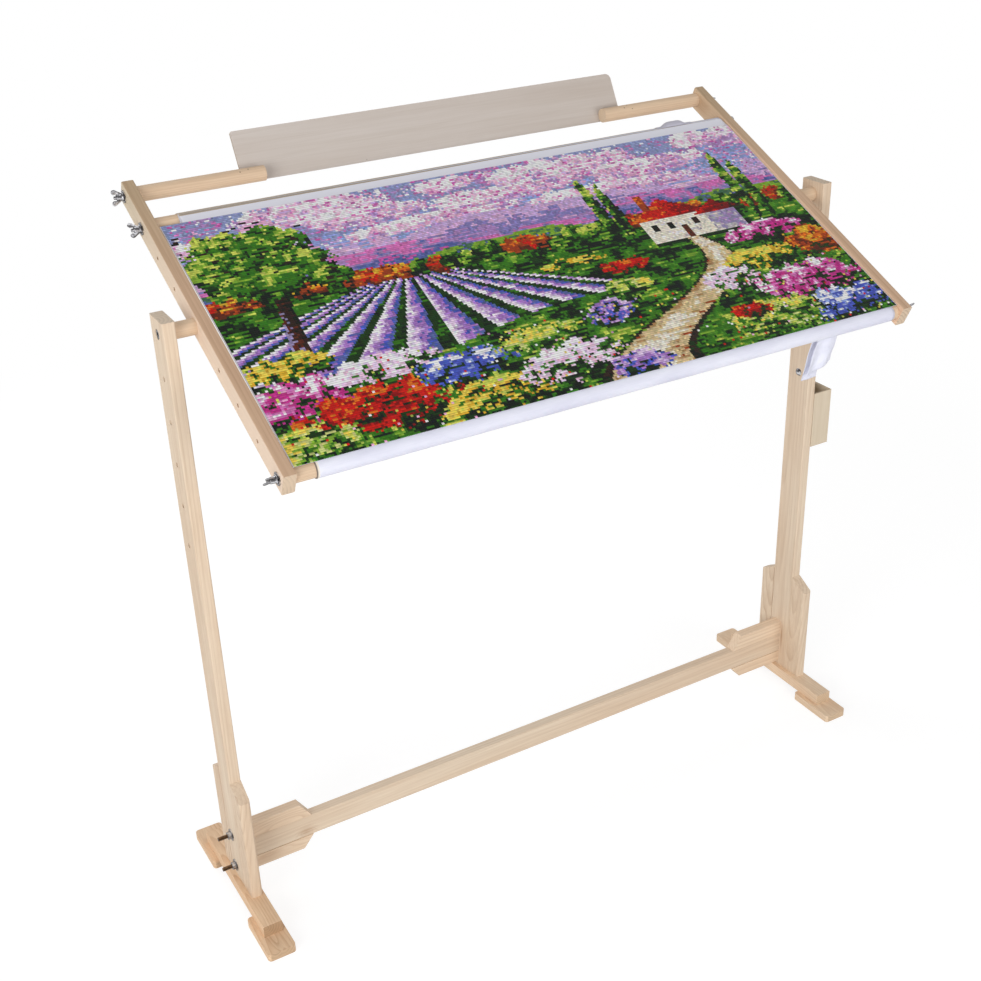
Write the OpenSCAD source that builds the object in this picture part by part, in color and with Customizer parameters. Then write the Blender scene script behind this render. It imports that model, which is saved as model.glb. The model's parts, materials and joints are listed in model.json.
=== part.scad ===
// Floor stand for embroidery, with a tilting scroll frame.
// Two posts on sled feet carry a frame between them that turns about one cross axis. The frame has
// a front and a back rod that wind the cloth, and a chart board on two short rods behind it.
// Origin: on the floor, midway between the posts, under the mid plane of the stretcher.
// +X is the worker's right, +Y points away from the worker, +Z is up. Millimetres.

/* [Posts] */
// Width of the stand over the outer faces of the posts
stand_w = 1000; // [950:5:1300]
// Height of the post tops above the floor
post_top = 870; // [780:5:950]
// Depth of a post, front to back
post_w = 45; // [36:1:60]
// Thickness of a post
post_t = 16; // [12:1:24]
// Distance of the posts' centre line in front of the stretcher's mid plane
post_forward = 5; // [0:0.5:8]
// Rounding along the long edges of posts and bars
arris_r = 2; // [0.5:0.5:3]

/* [Height holes] */
// Distance from a post's top down to the tilt axis
pivot_drop = 19; // [14:1:40]
// Spacing of the height holes
hole_pitch = 56; // [40:1:70]
// Number of spare height holes under the tilt axis
spare_holes = 5; // [2:1:6]
// Diameter of the height holes
hole_d = 6.5; // [6.2:0.1:8]

/* [Feet] */
// Length of a foot over its pads
foot_l = 292; // [240:2:420]
// Length of a runner
runner_l = 224; // [190:2:300]
// Width of a runner
runner_w = 27; // [22:1:40]
// Height of a runner
runner_h = 18; // [14:1:30]
// Distance that a runner stands out past the left face of its post
runner_out = 8; // [0:1:10]
// Length of a pad
pad_l = 81; // [60:1:100]
// Width of a pad
pad_w = 40; // [32:1:60]
// Thickness of a pad
pad_h = 12; // [8:1:20]
// Distance that a pad stands out past the left face of its post
pad_out = 16; // [8:1:24]
// Radius of a pad's corners
pad_r = 5; // [1:0.5:12]

/* [Gussets] */
// Depth of a gusset beyond the post's face
gusset_d = 30; // [16:1:45]
// Height of a gusset at its outer edge
gusset_h = 164; // [100:2:220]
// Rise of a gusset's top edge towards the post
gusset_rise = 17; // [0:1:30]
// Rounding along a gusset's two outer edges
gusset_r = 4; // [1:0.5:6]

/* [Stretcher] */
// Thickness of the stretcher and its blocks
stretcher_t = 16; // [12:1:22]
// Height of the stretcher bar
stretcher_h = 35; // [25:1:60]
// Height of the stretcher bar's underside above the floor
stretcher_z = 56; // [52:1:80]
// Height of the upper end blocks
upper_block_h = 24; // [20:1:34]
// Height of the lower end blocks
lower_block_h = 20; // [16:1:22]
// Length of an end block at its outer edge
block_l = 85; // [60:1:140]
// Length of an end block's sloping end
block_slope = 16; // [6:1:40]

/* [Stretcher fasteners] */
// Diameter of the studs that hold the stretcher
stud_d = 6; // [5:0.5:6]
// Length of a stud inside its block
stud_in = 45; // [25:1:55]
// Length of a stud beyond the post's outer face
stud_out = 20; // [12:1:20]
// Distance of a stud from its block's outer edge
stud_edge = 12; // [8:0.5:12]
// Diameter of a stretcher washer
washer_d = 17; // [14:0.5:20]
// Thickness of a stretcher washer
washer_t = 1.4; // [0.8:0.1:2]
// Width of a hexagon nut across its flats
nut_af = 10; // [10:0.5:13]
// Height of a hexagon nut
nut_h = 5; // [3:0.5:6]
// Diameter of a screw under a foot
foot_screw_d = 4; // [3:0.5:5]
// Length of a screw under a foot
foot_screw_l = 50; // [35:1:60]

/* [Tilt axis] */
// Diameter of the pivot bolts
pivot_d = 6; // [5:0.5:6]
// Diameter of a pivot bolt's head
pivot_head_d = 11; // [10:0.5:12]
// Height of a pivot bolt's head
pivot_head_h = 5; // [3:0.5:6]
// Diameter of the counterbore for the head
counterbore_d = 13; // [12.5:0.5:14]
// Depth of the counterbore for the head
counterbore_h = 5.5; // [3:0.5:8]
// Width of the hexagon socket in the head
socket_af = 5; // [3:0.5:6]
// Diameter of a spacer between post and side bar
spacer_d = 20; // [16:1:26]
// Length of a spacer, which sets the frame's width inside the posts
spacer_l = 29; // [24:0.5:45]
// Outer diameter of the threaded insert in a side bar
insert_d = 9; // [8:0.5:11]
// Length of the threaded insert
insert_l = 12; // [8:0.5:12]

/* [Frame] */
// Thickness of a side bar
bar_t = 16; // [14:1:20]
// Height of a side bar
bar_h = 30; // [26:1:40]
// Length of a side bar in front of the tilt axis
bar_front = 259; // [220:1:300]
// Length of a side bar behind the tilt axis
bar_back = 256; // [220:1:300]
// Tilt of the frame, its front edge down
tilt = 24.8; // [0:0.2:60]
// Spacing of the spare holes in a side bar
bar_hole_pitch = 57; // [40:1:60]
// Spare holes behind the front rod
front_spares = 3; // [1:1:3]
// Spare holes in front of the back rod
back_spares = 2; // [1:1:2]

/* [Rods] */
// Diameter of the rods
rod_d = 20; // [18:1:22]
// Distance of the front rod from a side bar's front end
front_rod_in = 12; // [11:1:20]
// Distance of the back rod from a side bar's back end
back_rod_in = 75; // [75:1:90]
// Distance of the chart rods from a side bar's back end
chart_rod_in = 10.5; // [10:0.5:14]
// Length of a chart rod
chart_rod_l = 172; // [120:1:200]
// Diameter of the studs in the rods
rod_stud_d = 5; // [4:0.5:5]
// Length of a stud inside its rod
rod_stud_in = 30; // [15:1:40]

/* [Wing nuts] */
// Diameter of a rod washer
rod_washer_d = 16; // [13:0.5:18]
// Thickness of a rod washer
rod_washer_t = 1.2; // [0.8:0.1:2]
// Diameter of a wing nut's foot
nut_foot_d = 11; // [10:0.5:12]
// Diameter of a wing nut's neck
nut_neck_d = 8.6; // [7.5:0.1:9]
// Height of a wing nut's neck
nut_neck_h = 7; // [6:0.5:8]
// Span of the wings
wing_span = 21; // [19:0.5:24]
// Height of the wings above the washer
wing_h = 14.5; // [13:0.5:16]
// Thickness of a wing
wing_t = 1.8; // [1.2:0.1:2.2]
// Radius of a wing's round tip
wing_r = 3.4; // [2.6:0.1:3.6]
// Length of a stud past its wing nut's neck
rod_stud_out = 3; // [1:0.5:5]

/* [Chart board] */
// Length of the chart board that lies behind each of its rods
board_overlap = 33; // [28:1:60]
// Height of the chart board
board_h = 68; // [50:1:68]
// Thickness of the chart board
board_t = 3; // [2:0.5:6]
// Part of the board below the chart rods' axis
board_low = 5.5; // [4:0.5:20]
// Lean of the board back from upright
board_lean = 28; // [10:1:40]
// Distance of the board's middle from the stand's middle
board_shift = 5; // [0:1:10]
// Radius of the board's upper left corner
board_left_r = 3; // [1:0.5:12]
// Radius of the board's upper right corner
board_right_r = 8; // [1:0.5:12]
// Spacing of the two screws at each end of the board
board_screw_pitch = 13; // [10:0.5:16]
// Diameter of a board screw
board_screw_d = 3; // [2.5:0.5:4]
// Length of a board screw
board_screw_l = 16; // [10:1:18]
// Distance of the outer screws from the board's ends
board_screw_in = 8; // [6:0.5:10]

/* [Cloth] */
// Thickness of the cloth wound on the front rod
front_wrap = 1.5; // [0.8:0.1:3]
// Thickness of the cloth wound on the back rod
back_wrap = 1.2; // [0.8:0.1:3]
// Bare length of the front rod at its left end
front_bare_left = 25; // [10:1:60]
// Bare length of the back rod at its left end
back_bare_left = 30; // [10:1:60]
// Bare length of both rods at their right end
bare_right = 9; // [5:1:40]
// Thickness of the stretched cloth
cloth_t = 1; // [0.6:0.1:2]
// Gap between the stretched cloth and a side bar
cloth_side_gap = 6; // [3:0.5:20]

/* [Loose end] */
// Width of the loose end of cloth under the front rod
flap_w = 50; // [30:1:90]
// Length of the loose end below the front rod's axis
flap_l = 77; // [40:1:120]
// Distance of the loose end's middle from the front roll's right end
flap_in = 104; // [60:1:400]
// Sideways drift of the loose end's hem to the left
flap_drift = 6; // [0:1:15]
// Amount by which the hem is narrower than the strip's top
flap_narrow = 7; // [0:0.5:15]
// Rise of the hem from its left to its right end
flap_rise = 14; // [0:1:30]
// Depth of the folds in the loose end
flap_fold = 7; // [2:0.5:12]
// Thickness of the loose end
flap_t = 1.4; // [1:0.1:3]

/* [Storage box] */
// Depth of the box out from the post
box_d = 34; // [24:1:34]
// Height of the box
box_h = 91; // [60:1:110]
// Thickness of the box's boards
box_t = 3; // [2:0.5:5]
// Distance from the box's rim up to the bolt that holds it
box_drop = 33; // [24:1:45]
// Width of the tongue that the box hangs by
tongue_w = 30; // [22:1:36]
// Height of the tongue above the bolt
tongue_up = 17; // [12:1:20]
// Radius of the tongue's corners
tongue_r = 5; // [1:0.5:10]
// Diameter of the bolt that holds the box
box_bolt_d = 6; // [5:0.5:6]
// Diameter of the bolt's round head
box_head_d = 12; // [10:0.5:13]
// Height of the bolt's round head
box_head_h = 3.4; // [2:0.1:4]
// Diameter of a nail
nail_d = 1.4; // [1:0.1:1.8]
// Length of a nail
nail_l = 12; // [8:0.5:16]

/* [Clearances] */
// Radial clearance of a stud that turns in its hole
run_gap = 0.05; // [0.02:0.01:0.1]
// Gap between flat faces that turn past each other
face_gap = 0.1; // [0.05:0.05:0.3]
// Gap between cloth and what it passes
soft_gap = 0.3; // [0.3:0.05:0.5]

/* [Hidden] */
$fn = 48;

LEFT = -1;
RIGHT = 1;
FRONT = -1;
REAR = 1;
// Oversize that lets a cut run clear of the faces it opens
cut = 1;

post_y = -post_forward;
post_outer = stand_w/2;
post_inner = post_outer - post_t;
post_z = pad_h + runner_h;
pivot_z = post_top - pivot_drop;
box_hole_z = pivot_z - spare_holes*hole_pitch;

// Left face of a post: the two feet are the same piece, not mirrored
function post_left_face(side) = side == LEFT ? -post_outer : post_inner;

upper_stud_z = stretcher_z + stretcher_h + upper_block_h - stud_edge;
lower_stud_z = stretcher_z - lower_block_h + stud_edge;

bar_outer = post_inner - spacer_l;
bar_inner = bar_outer - bar_t;
front_u = bar_front - front_rod_in;
back_u = back_rod_in - bar_back;
chart_u = chart_rod_in - bar_back;
rod_r = rod_d/2;
rod_end = bar_inner - face_gap;
front_r = rod_r + front_wrap;
back_r = rod_r + back_wrap;
nut_seat = bar_outer + rod_washer_t + 2*face_gap;
nut_foot_h = 1.5;
nut_neck_taper = 1;
// Where a wing's straight edges leave its round tip, in degrees from the tip's middle line
wing_outer_a = 10;
wing_inner_a = 28;
rod_stud_tip = nut_seat + nut_foot_h + nut_neck_h + rod_stud_out;
chart_rod_end = rod_end - chart_rod_l;
board_w = 2*(chart_rod_end + board_overlap);
board_left = board_shift - board_w/2;
board_right = board_shift + board_w/2;
box_top = box_hole_z - box_drop;
box_z = box_top - box_h;

PINE = [0.87, 0.76, 0.62];
PINE_WARM = [0.85, 0.70, 0.52];
DOWEL = [0.84, 0.70, 0.52];
PLYWOOD = [0.80, 0.75, 0.67];
ZINC = [0.72, 0.72, 0.74];
DARK_STEEL = [0.45, 0.42, 0.40];
CLOTH = [0.90, 0.90, 0.95];
STITCHED = [0.55, 0.60, 0.70];

// Rectangle a by b about the origin, with round corners
module round_rect(a, b, r) {
    square([a - 2*r, b], center = true);
    square([a, b - 2*r], center = true);
    for (i = [-1, 1], j = [-1, 1])
        translate([i*(a/2 - r), j*(b/2 - r)])
            circle(r);
}

// Cylinder along +X from x0 to x1
module x_rod(x0, x1, d) {
    translate([x0, 0, 0])
        rotate([0, 90, 0])
            cylinder(h = x1 - x0, d = d);
}

// Draws its children on the left, or mirrored on the right
module on_side(side) {
    if (side == LEFT)
        mirror([1, 0, 0])
            children();
    else
        children();
}

// Places children, made about the tilt axis with the frame flat, at the frame's tilt
module tilted() {
    translate([0, post_y, pivot_z])
        rotate([tilt, 0, 0])
            children();
}

// Moves children along the frame to u, measured towards the front from the tilt axis
module at_u(u) {
    translate([0, -u, 0])
        children();
}

// Moves children on the right side to the two studs at one end of the stretcher
module at_stretcher_studs() {
    for (z = [upper_stud_z, lower_stud_z])
        translate([0, 0, z])
            children();
}

// Posts

module post(side) {
    color(PINE)
        on_side(side)
            difference() {
                translate([post_outer - post_t/2, post_y, post_z])
                    linear_extrude(post_top - post_z)
                        round_rect(post_t, post_w, arris_r);
                translate([0, post_y, pivot_z]) {
                    for (i = [0:spare_holes])
                        translate([0, 0, -i*hole_pitch])
                            x_rod(post_inner - cut, post_outer + cut, hole_d);
                    x_rod(post_outer - counterbore_h, post_outer + cut, counterbore_d);
                }
                at_stretcher_studs()
                    x_rod(post_inner - cut, post_outer + cut, hole_d);
            }
}

module left_post() { post(LEFT); }
module right_post() { post(RIGHT); }

// A gusset is glued to the post's narrow face and stands on the runner
module gusset(side, way) {
    color(PINE)
        difference() {
            translate([post_left_face(side), post_y, post_z])
                intersection() {
                    rotate([90, 0, 90])
                        linear_extrude(post_t)
                            polygon([
                                [way*post_w/2, 0],
                                [way*(post_w/2 + gusset_d), 0],
                                [way*(post_w/2 + gusset_d), gusset_h],
                                [way*post_w/2, gusset_h + gusset_rise]
                            ]);
                    translate([post_t/2, 0, 0])
                        linear_extrude(gusset_h + gusset_rise)
                            round_rect(post_t, post_w + 2*gusset_d, gusset_r);
                }
            at_foot_screws(side)
                screw_up(foot_screw_d, foot_screw_l);
        }
}

module left_front_gusset() { gusset(LEFT, FRONT); }
module left_rear_gusset() { gusset(LEFT, REAR); }
module right_front_gusset() { gusset(RIGHT, FRONT); }
module right_rear_gusset() { gusset(RIGHT, REAR); }

// Feet

// Moves children to the screws that go up through a runner, one into each gusset
module at_foot_screws(side) {
    for (way = [FRONT, REAR])
        translate([post_left_face(side) + post_t/2, post_y + way*(post_w + gusset_d)/2, pad_h])
            children();
}

module screw_up(d, l) {
    head_h = 0.6*d;
    cylinder(h = head_h, d1 = 2*d, d2 = d);
    translate([0, 0, head_h])
        cylinder(h = l - head_h, d = d);
}

module runner(side) {
    color(PINE_WARM)
        difference() {
            translate([post_left_face(side) - runner_out + runner_w/2, post_y, pad_h + runner_h/2])
                rotate([90, 0, 0])
                    linear_extrude(runner_l, center = true)
                        round_rect(runner_w, runner_h, arris_r/2);
            at_foot_screws(side)
                screw_up(foot_screw_d, foot_screw_l);
        }
}

module left_runner() { runner(LEFT); }
module right_runner() { runner(RIGHT); }

module pad(side, way) {
    color(PINE_WARM)
        translate([post_left_face(side) - pad_out + pad_w/2, post_y + way*(foot_l - pad_l)/2, 0])
            linear_extrude(pad_h)
                round_rect(pad_w, pad_l, pad_r);
}

module left_front_pad() { pad(LEFT, FRONT); }
module left_rear_pad() { pad(LEFT, REAR); }
module right_front_pad() { pad(RIGHT, FRONT); }
module right_rear_pad() { pad(RIGHT, REAR); }

module foot_screws() {
    color(ZINC)
        for (side = [LEFT, RIGHT])
            at_foot_screws(side)
                screw_up(foot_screw_d, foot_screw_l);
}

// Stretcher

module stretcher_bar() {
    color(PINE)
        translate([0, 0, stretcher_z + stretcher_h/2])
            rotate([90, 0, 90])
                linear_extrude(2*post_inner, center = true)
                    round_rect(stretcher_t, stretcher_h, arris_r);
}

// Block glued above (way 1) or below (way -1) the bar's end, with a sloping end
module end_block(side, way) {
    h = way > 0 ? upper_block_h : lower_block_h;
    glue_z = way > 0 ? stretcher_z + stretcher_h : stretcher_z;
    color(PINE_WARM)
        on_side(side)
            difference() {
                translate([0, stretcher_t/2, glue_z])
                    rotate([90, 0, 0])
                        linear_extrude(stretcher_t)
                            polygon([
                                [post_inner, 0],
                                [post_inner, way*h],
                                [post_inner - block_l, way*h],
                                [post_inner - block_l - block_slope, 0]
                            ]);
                at_stretcher_studs()
                    x_rod(post_inner - stud_in, post_inner + cut, stud_d);
            }
}

module left_upper_block() { end_block(LEFT, 1); }
module left_lower_block() { end_block(LEFT, -1); }
module right_upper_block() { end_block(RIGHT, 1); }
module right_lower_block() { end_block(RIGHT, -1); }

module stretcher_studs() {
    color(DARK_STEEL)
        for (side = [LEFT, RIGHT])
            on_side(side)
                at_stretcher_studs()
                    x_rod(post_inner - stud_in, post_outer + stud_out, stud_d);
}

module stretcher_washers() {
    color(ZINC)
        for (side = [LEFT, RIGHT])
            on_side(side)
                at_stretcher_studs()
                    difference() {
                        x_rod(post_outer, post_outer + washer_t, washer_d);
                        x_rod(post_outer - cut, post_outer + washer_t + cut, hole_d);
                    }
}

// Hexagon nut along +X from x0, with its corners turned down to a cone
module hex_nut(x0, bore_d) {
    corner_d = nut_af/cos(30);
    translate([x0, 0, 0])
        rotate([0, 90, 0])
            difference() {
                intersection() {
                    cylinder(h = nut_h, d = corner_d, $fn = 6);
                    cylinder(h = nut_h, d1 = corner_d + nut_h, d2 = nut_af, $fn = 48);
                }
                translate([0, 0, -cut])
                    cylinder(h = nut_h + 2*cut, d = bore_d);
            }
}

module stretcher_nuts() {
    color(ZINC)
        for (side = [LEFT, RIGHT])
            on_side(side)
                at_stretcher_studs()
                    hex_nut(post_outer + washer_t, stud_d);
}

// Tilt axis

module pivot_bolts() {
    head_x = post_outer - counterbore_h;
    color(ZINC)
        for (side = [LEFT, RIGHT])
            translate([0, post_y, pivot_z])
                on_side(side)
                    difference() {
                        union() {
                            x_rod(bar_inner, head_x, pivot_d);
                            x_rod(head_x, head_x + pivot_head_h, pivot_head_d);
                        }
                        translate([head_x + pivot_head_h/2, 0, 0])
                            rotate([0, 90, 0])
                                cylinder(h = pivot_head_h, d = socket_af/cos(30), $fn = 6);
                    }
}

module spacer(side) {
    color(DOWEL)
        translate([0, post_y, pivot_z])
            on_side(side)
                difference() {
                    x_rod(bar_outer + face_gap, post_inner, spacer_d);
                    x_rod(bar_outer - cut, post_inner + cut, hole_d);
                }
}

module left_spacer() { spacer(LEFT); }
module right_spacer() { spacer(RIGHT); }

// Storage box on the right post

module box_back() {
    plate_h = box_h + box_drop + tongue_up;
    color(PLYWOOD)
        difference() {
            translate([post_outer, post_y, 0])
                rotate([90, 0, 90])
                    linear_extrude(box_t) {
                        translate([-post_w/2, box_z])
                            square([post_w, box_h]);
                        translate([0, box_z + plate_h/2])
                            round_rect(tongue_w, plate_h, tongue_r);
                    }
            translate([0, post_y, box_hole_z])
                x_rod(post_outer - cut, post_outer + box_t + cut, box_bolt_d + 2*run_gap);
        }
}

module box_floor() {
    color(PLYWOOD)
        translate([post_outer + box_t, post_y - post_w/2 + box_t, box_z])
            cube([box_d - 2*box_t, post_w - 2*box_t, box_t]);
}

module box_end_wall(way) {
    color(PLYWOOD)
        difference() {
            translate([post_outer + box_t, post_y + way*(post_w - box_t)/2 - box_t/2, box_z])
                cube([box_d - 2*box_t, box_t, box_h]);
            at_box_nails(way)
                x_rod(-nail_l, 0, nail_d);
        }
}

module box_front_wall() { box_end_wall(FRONT); }
module box_rear_wall() { box_end_wall(REAR); }

module box_outer_wall() {
    color(PLYWOOD)
        difference() {
            translate([post_outer + box_d - box_t, post_y - post_w/2, box_z])
                cube([box_t, post_w, box_h]);
            for (way = [FRONT, REAR])
                at_box_nails(way)
                    x_rod(-nail_l, cut, nail_d);
        }
}

// Moves children to the nails' heads down one edge of the outer wall
module at_box_nails(way) {
    nails = 3;
    nail_end = 10;
    for (i = [0:nails - 1])
        translate([
            post_outer + box_d,
            post_y + way*(post_w - box_t)/2,
            box_z + nail_end + i*(box_h - 2*nail_end)/(nails - 1)
        ])
            children();
}

module box_nails() {
    color(ZINC)
        for (way = [FRONT, REAR])
            at_box_nails(way)
                x_rod(-nail_l, 0, nail_d);
}

// Round head on the post's inner face, shank out through the box's tongue
module box_bolt() {
    ball_r = (pow(box_head_d/2, 2) + pow(box_head_h, 2))/(2*box_head_h);
    color(ZINC)
        translate([0, post_y, box_hole_z]) {
            intersection() {
                x_rod(post_inner - box_head_h, post_inner, box_head_d);
                translate([post_inner - box_head_h + ball_r, 0, 0])
                    sphere(ball_r);
            }
            x_rod(post_inner, post_outer + box_t + nut_h, box_bolt_d);
        }
}

module box_nut() {
    color(ZINC)
        translate([0, post_y, box_hole_z])
            hex_nut(post_outer + box_t, box_bolt_d);
}

// Tilting frame

module side_bar(side) {
    color(PINE)
        tilted()
            on_side(side)
                difference() {
                    at_u(-bar_back)
                        translate([bar_outer - bar_t/2, 0, 0])
                            rotate([90, 0, 0])
                                linear_extrude(bar_front + bar_back)
                                    round_rect(bar_t, bar_h, arris_r);
                    for (u = [
                        chart_u,
                        for (i = [0:front_spares]) front_u - i*bar_hole_pitch,
                        for (i = [0:back_spares]) back_u + i*bar_hole_pitch
                    ])
                        at_u(u)
                            x_rod(bar_inner - cut, bar_outer + cut, rod_stud_d + 2*run_gap);
                    x_rod(bar_inner - cut, bar_outer + cut, hole_d);
                    x_rod(bar_inner - cut, bar_inner + insert_l, insert_d);
                }
}

module left_side_bar() { side_bar(LEFT); }
module right_side_bar() { side_bar(RIGHT); }

module pivot_inserts() {
    color(ZINC)
        tilted()
            for (side = [LEFT, RIGHT])
                on_side(side)
                    difference() {
                        x_rod(bar_inner, bar_inner + insert_l, insert_d);
                        x_rod(bar_inner - cut, bar_inner + insert_l + cut, pivot_d + 2*run_gap);
                    }
}

module rod_washers() {
    washer_x = bar_outer + face_gap;
    color(ZINC)
        tilted()
            for (side = [LEFT, RIGHT], u = [front_u, back_u, chart_u])
                at_u(u)
                    on_side(side)
                        difference() {
                            x_rod(washer_x, washer_x + rod_washer_t, rod_washer_d);
                            x_rod(bar_outer, bar_outer + rod_washer_t + cut, rod_stud_d + 2*run_gap);
                        }
}

// Cloth

// The cloth runs straight from the top of one roll to the top of the other
module stretched_cloth() {
    front_v = front_r + soft_gap;
    back_v = back_r + soft_gap;
    color(STITCHED)
        tilted()
            rotate([90, 0, 90])
                linear_extrude(2*(bar_inner - cloth_side_gap), center = true)
                    polygon([
                        [-front_u, front_v],
                        [-back_u, back_v],
                        [-back_u, back_v + cloth_t],
                        [-front_u, front_v + cloth_t]
                    ]);
}

module cloth_roll(r, x0, x1) {
    color(CLOTH)
        difference() {
            x_rod(x0, x1, 2*r);
            x_rod(x0 - cut, x1 + cut, rod_d);
        }
}

module front_cloth_roll() {
    tilted()
        at_u(front_u)
            cloth_roll(front_r, front_bare_left - bar_inner, bar_inner - bare_right);
}

module back_cloth_roll() {
    tilted()
        at_u(back_u)
            cloth_roll(back_r, back_bare_left - bar_inner, bar_inner - bare_right);
}

// Loose end: a strip that leaves the front roll at the back and hangs straight down.
// Its folds deepen downwards, and its hem rises towards the right.
flap_columns = 16;
flap_rows = 10;
flap_waves = 1.25;
flap_x = bar_inner - bare_right - flap_in;
flap_top_y = post_y - front_u*cos(tilt) + front_r + soft_gap;
flap_top_z = pivot_z - front_u*sin(tilt);

// Point of the strip at column i, row j, on its front (k = 0) or its rear face (k = 1)
function flap_point(i, j, k) =
    let (
        across = i/flap_columns,
        down = j/flap_rows,
        width = flap_w - flap_narrow*down,
        hem = flap_l - flap_rise*across,
        fold = flap_fold*down*(1 - cos(360*flap_waves*across))/2
    )
    [
        flap_x - flap_drift*down + width*(across - 0.5),
        flap_top_y + fold + k*flap_t,
        flap_top_z - hem*down
    ];

// Index of that point in the polyhedron's list
function flap_index(i, j, k) = k + 2*(i + (flap_columns + 1)*j);

// Quadrilateral as two triangles
function quad(a, b, c, d) = [[a, b, c], [a, c, d]];

module loose_end() {
    m = flap_columns;
    n = flap_rows;
    points = [for (j = [0:n], i = [0:m], k = [0, 1]) flap_point(i, j, k)];
    faces = [
        for (j = [0:n - 1], i = [0:m - 1])
            each quad(
                flap_index(i, j, 0), flap_index(i + 1, j, 0),
                flap_index(i + 1, j + 1, 0), flap_index(i, j + 1, 0)
            ),
        for (j = [0:n - 1], i = [0:m - 1])
            each quad(
                flap_index(i, j, 1), flap_index(i, j + 1, 1),
                flap_index(i + 1, j + 1, 1), flap_index(i + 1, j, 1)
            ),
        for (i = [0:m - 1])
            each quad(
                flap_index(i, 0, 0), flap_index(i, 0, 1),
                flap_index(i + 1, 0, 1), flap_index(i + 1, 0, 0)
            ),
        for (i = [0:m - 1])
            each quad(
                flap_index(i, n, 0), flap_index(i + 1, n, 0),
                flap_index(i + 1, n, 1), flap_index(i, n, 1)
            ),
        for (j = [0:n - 1])
            each quad(
                flap_index(0, j, 0), flap_index(0, j + 1, 0),
                flap_index(0, j + 1, 1), flap_index(0, j, 1)
            ),
        for (j = [0:n - 1])
            each quad(
                flap_index(m, j, 0), flap_index(m, j, 1),
                flap_index(m, j + 1, 1), flap_index(m, j + 1, 0)
            )
    ];
    color(CLOTH)
        polyhedron(points, faces);
}

// Rods

// Rod along X from x0 to x1, bored at the ends named in sides for its studs
module rod(x0, x1, sides) {
    color(DOWEL)
        difference() {
            x_rod(x0, x1, rod_d);
            for (side = sides)
                on_side(side)
                    x_rod(rod_end - rod_stud_in, rod_end + cut, rod_stud_d);
        }
}

module rod_studs() {
    color(ZINC)
        for (side = [LEFT, RIGHT])
            on_side(side)
                x_rod(rod_end - rod_stud_in, rod_stud_tip, rod_stud_d);
}

module front_rod() {
    tilted()
        at_u(front_u)
            rod(-rod_end, rod_end, [LEFT, RIGHT]);
}

module front_studs() {
    tilted()
        at_u(front_u)
            rod_studs();
}

module back_rod() {
    tilted()
        at_u(back_u)
            rod(-rod_end, rod_end, [LEFT, RIGHT]);
}

module back_studs() {
    tilted()
        at_u(back_u)
            rod_studs();
}

module chart_studs() {
    tilted()
        at_u(chart_u)
            rod_studs();
}

// Chart board and its rods

// Places children, made with the board upright behind the chart rods' axis, at the board's lean
module leaning() {
    tilted()
        at_u(chart_u)
            rotate([-board_lean - tilt, 0, 0])
                children();
}

// Moves children to the screws that go forward through the board into the rods
module at_board_screws(side) {
    edge_x = side == LEFT ? board_left : board_right;
    for (i = [0, 1])
        translate([edge_x - side*(board_screw_in + i*board_screw_pitch), rod_r + board_t, 0])
            rotate([90, 0, 0])
                children();
}

module board_screw() {
    head_h = 0.6*board_screw_d;
    cylinder(h = board_screw_l, d = board_screw_d);
    translate([0, 0, -head_h])
        cylinder(h = head_h, d1 = 1.4*board_screw_d, d2 = 2.2*board_screw_d);
}

module chart_rod(side) {
    color(DOWEL)
        leaning()
            difference() {
                on_side(side)
                    difference() {
                        x_rod(chart_rod_end, rod_end, rod_d);
                        x_rod(rod_end - rod_stud_in, rod_end + cut, rod_stud_d);
                    }
                at_board_screws(side)
                    board_screw();
            }
}

module left_chart_rod() { chart_rod(LEFT); }
module right_chart_rod() { chart_rod(RIGHT); }

module chart_board() {
    top = board_h - board_low;
    color(PLYWOOD)
        leaning()
            difference() {
                translate([0, rod_r + board_t, 0])
                    rotate([90, 0, 0])
                        linear_extrude(board_t) {
                            translate([board_left, -board_low])
                                square([board_w, board_h - max(board_left_r, board_right_r)]);
                            translate([board_left + board_left_r, -board_low])
                                square([board_w - board_left_r - board_right_r, board_h]);
                            translate([board_left, -board_low])
                                square([board_w/2, board_h - board_left_r]);
                            translate([board_left + board_left_r, top - board_left_r])
                                circle(board_left_r);
                            translate([board_right - board_right_r, top - board_right_r])
                                circle(board_right_r);
                        }
                for (side = [LEFT, RIGHT])
                    at_board_screws(side)
                        board_screw();
            }
}

module chart_screws() {
    color(ZINC)
        leaning()
            for (side = [LEFT, RIGHT])
                at_board_screws(side)
                    board_screw();
}

// Wing nuts

// One wing in the plane of the nut's axis, which is the profile's Y axis
module wing_profile() {
    tip_x = wing_span/2 - wing_r;
    tip_y = wing_h - wing_r;
    waist = 0.42*wing_r;
    polygon([
        [0, nut_foot_h/2],
        [nut_neck_d/2 + waist, nut_foot_h],
        [tip_x + wing_r*cos(wing_outer_a), tip_y - wing_r*sin(wing_outer_a)],
        [tip_x - wing_r*cos(wing_inner_a), tip_y + wing_r*sin(wing_inner_a)],
        [nut_neck_d/2 - waist, nut_foot_h + nut_neck_h - waist],
        [0, nut_foot_h + nut_neck_h - waist]
    ]);
    translate([tip_x, tip_y])
        circle(wing_r);
}

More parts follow.
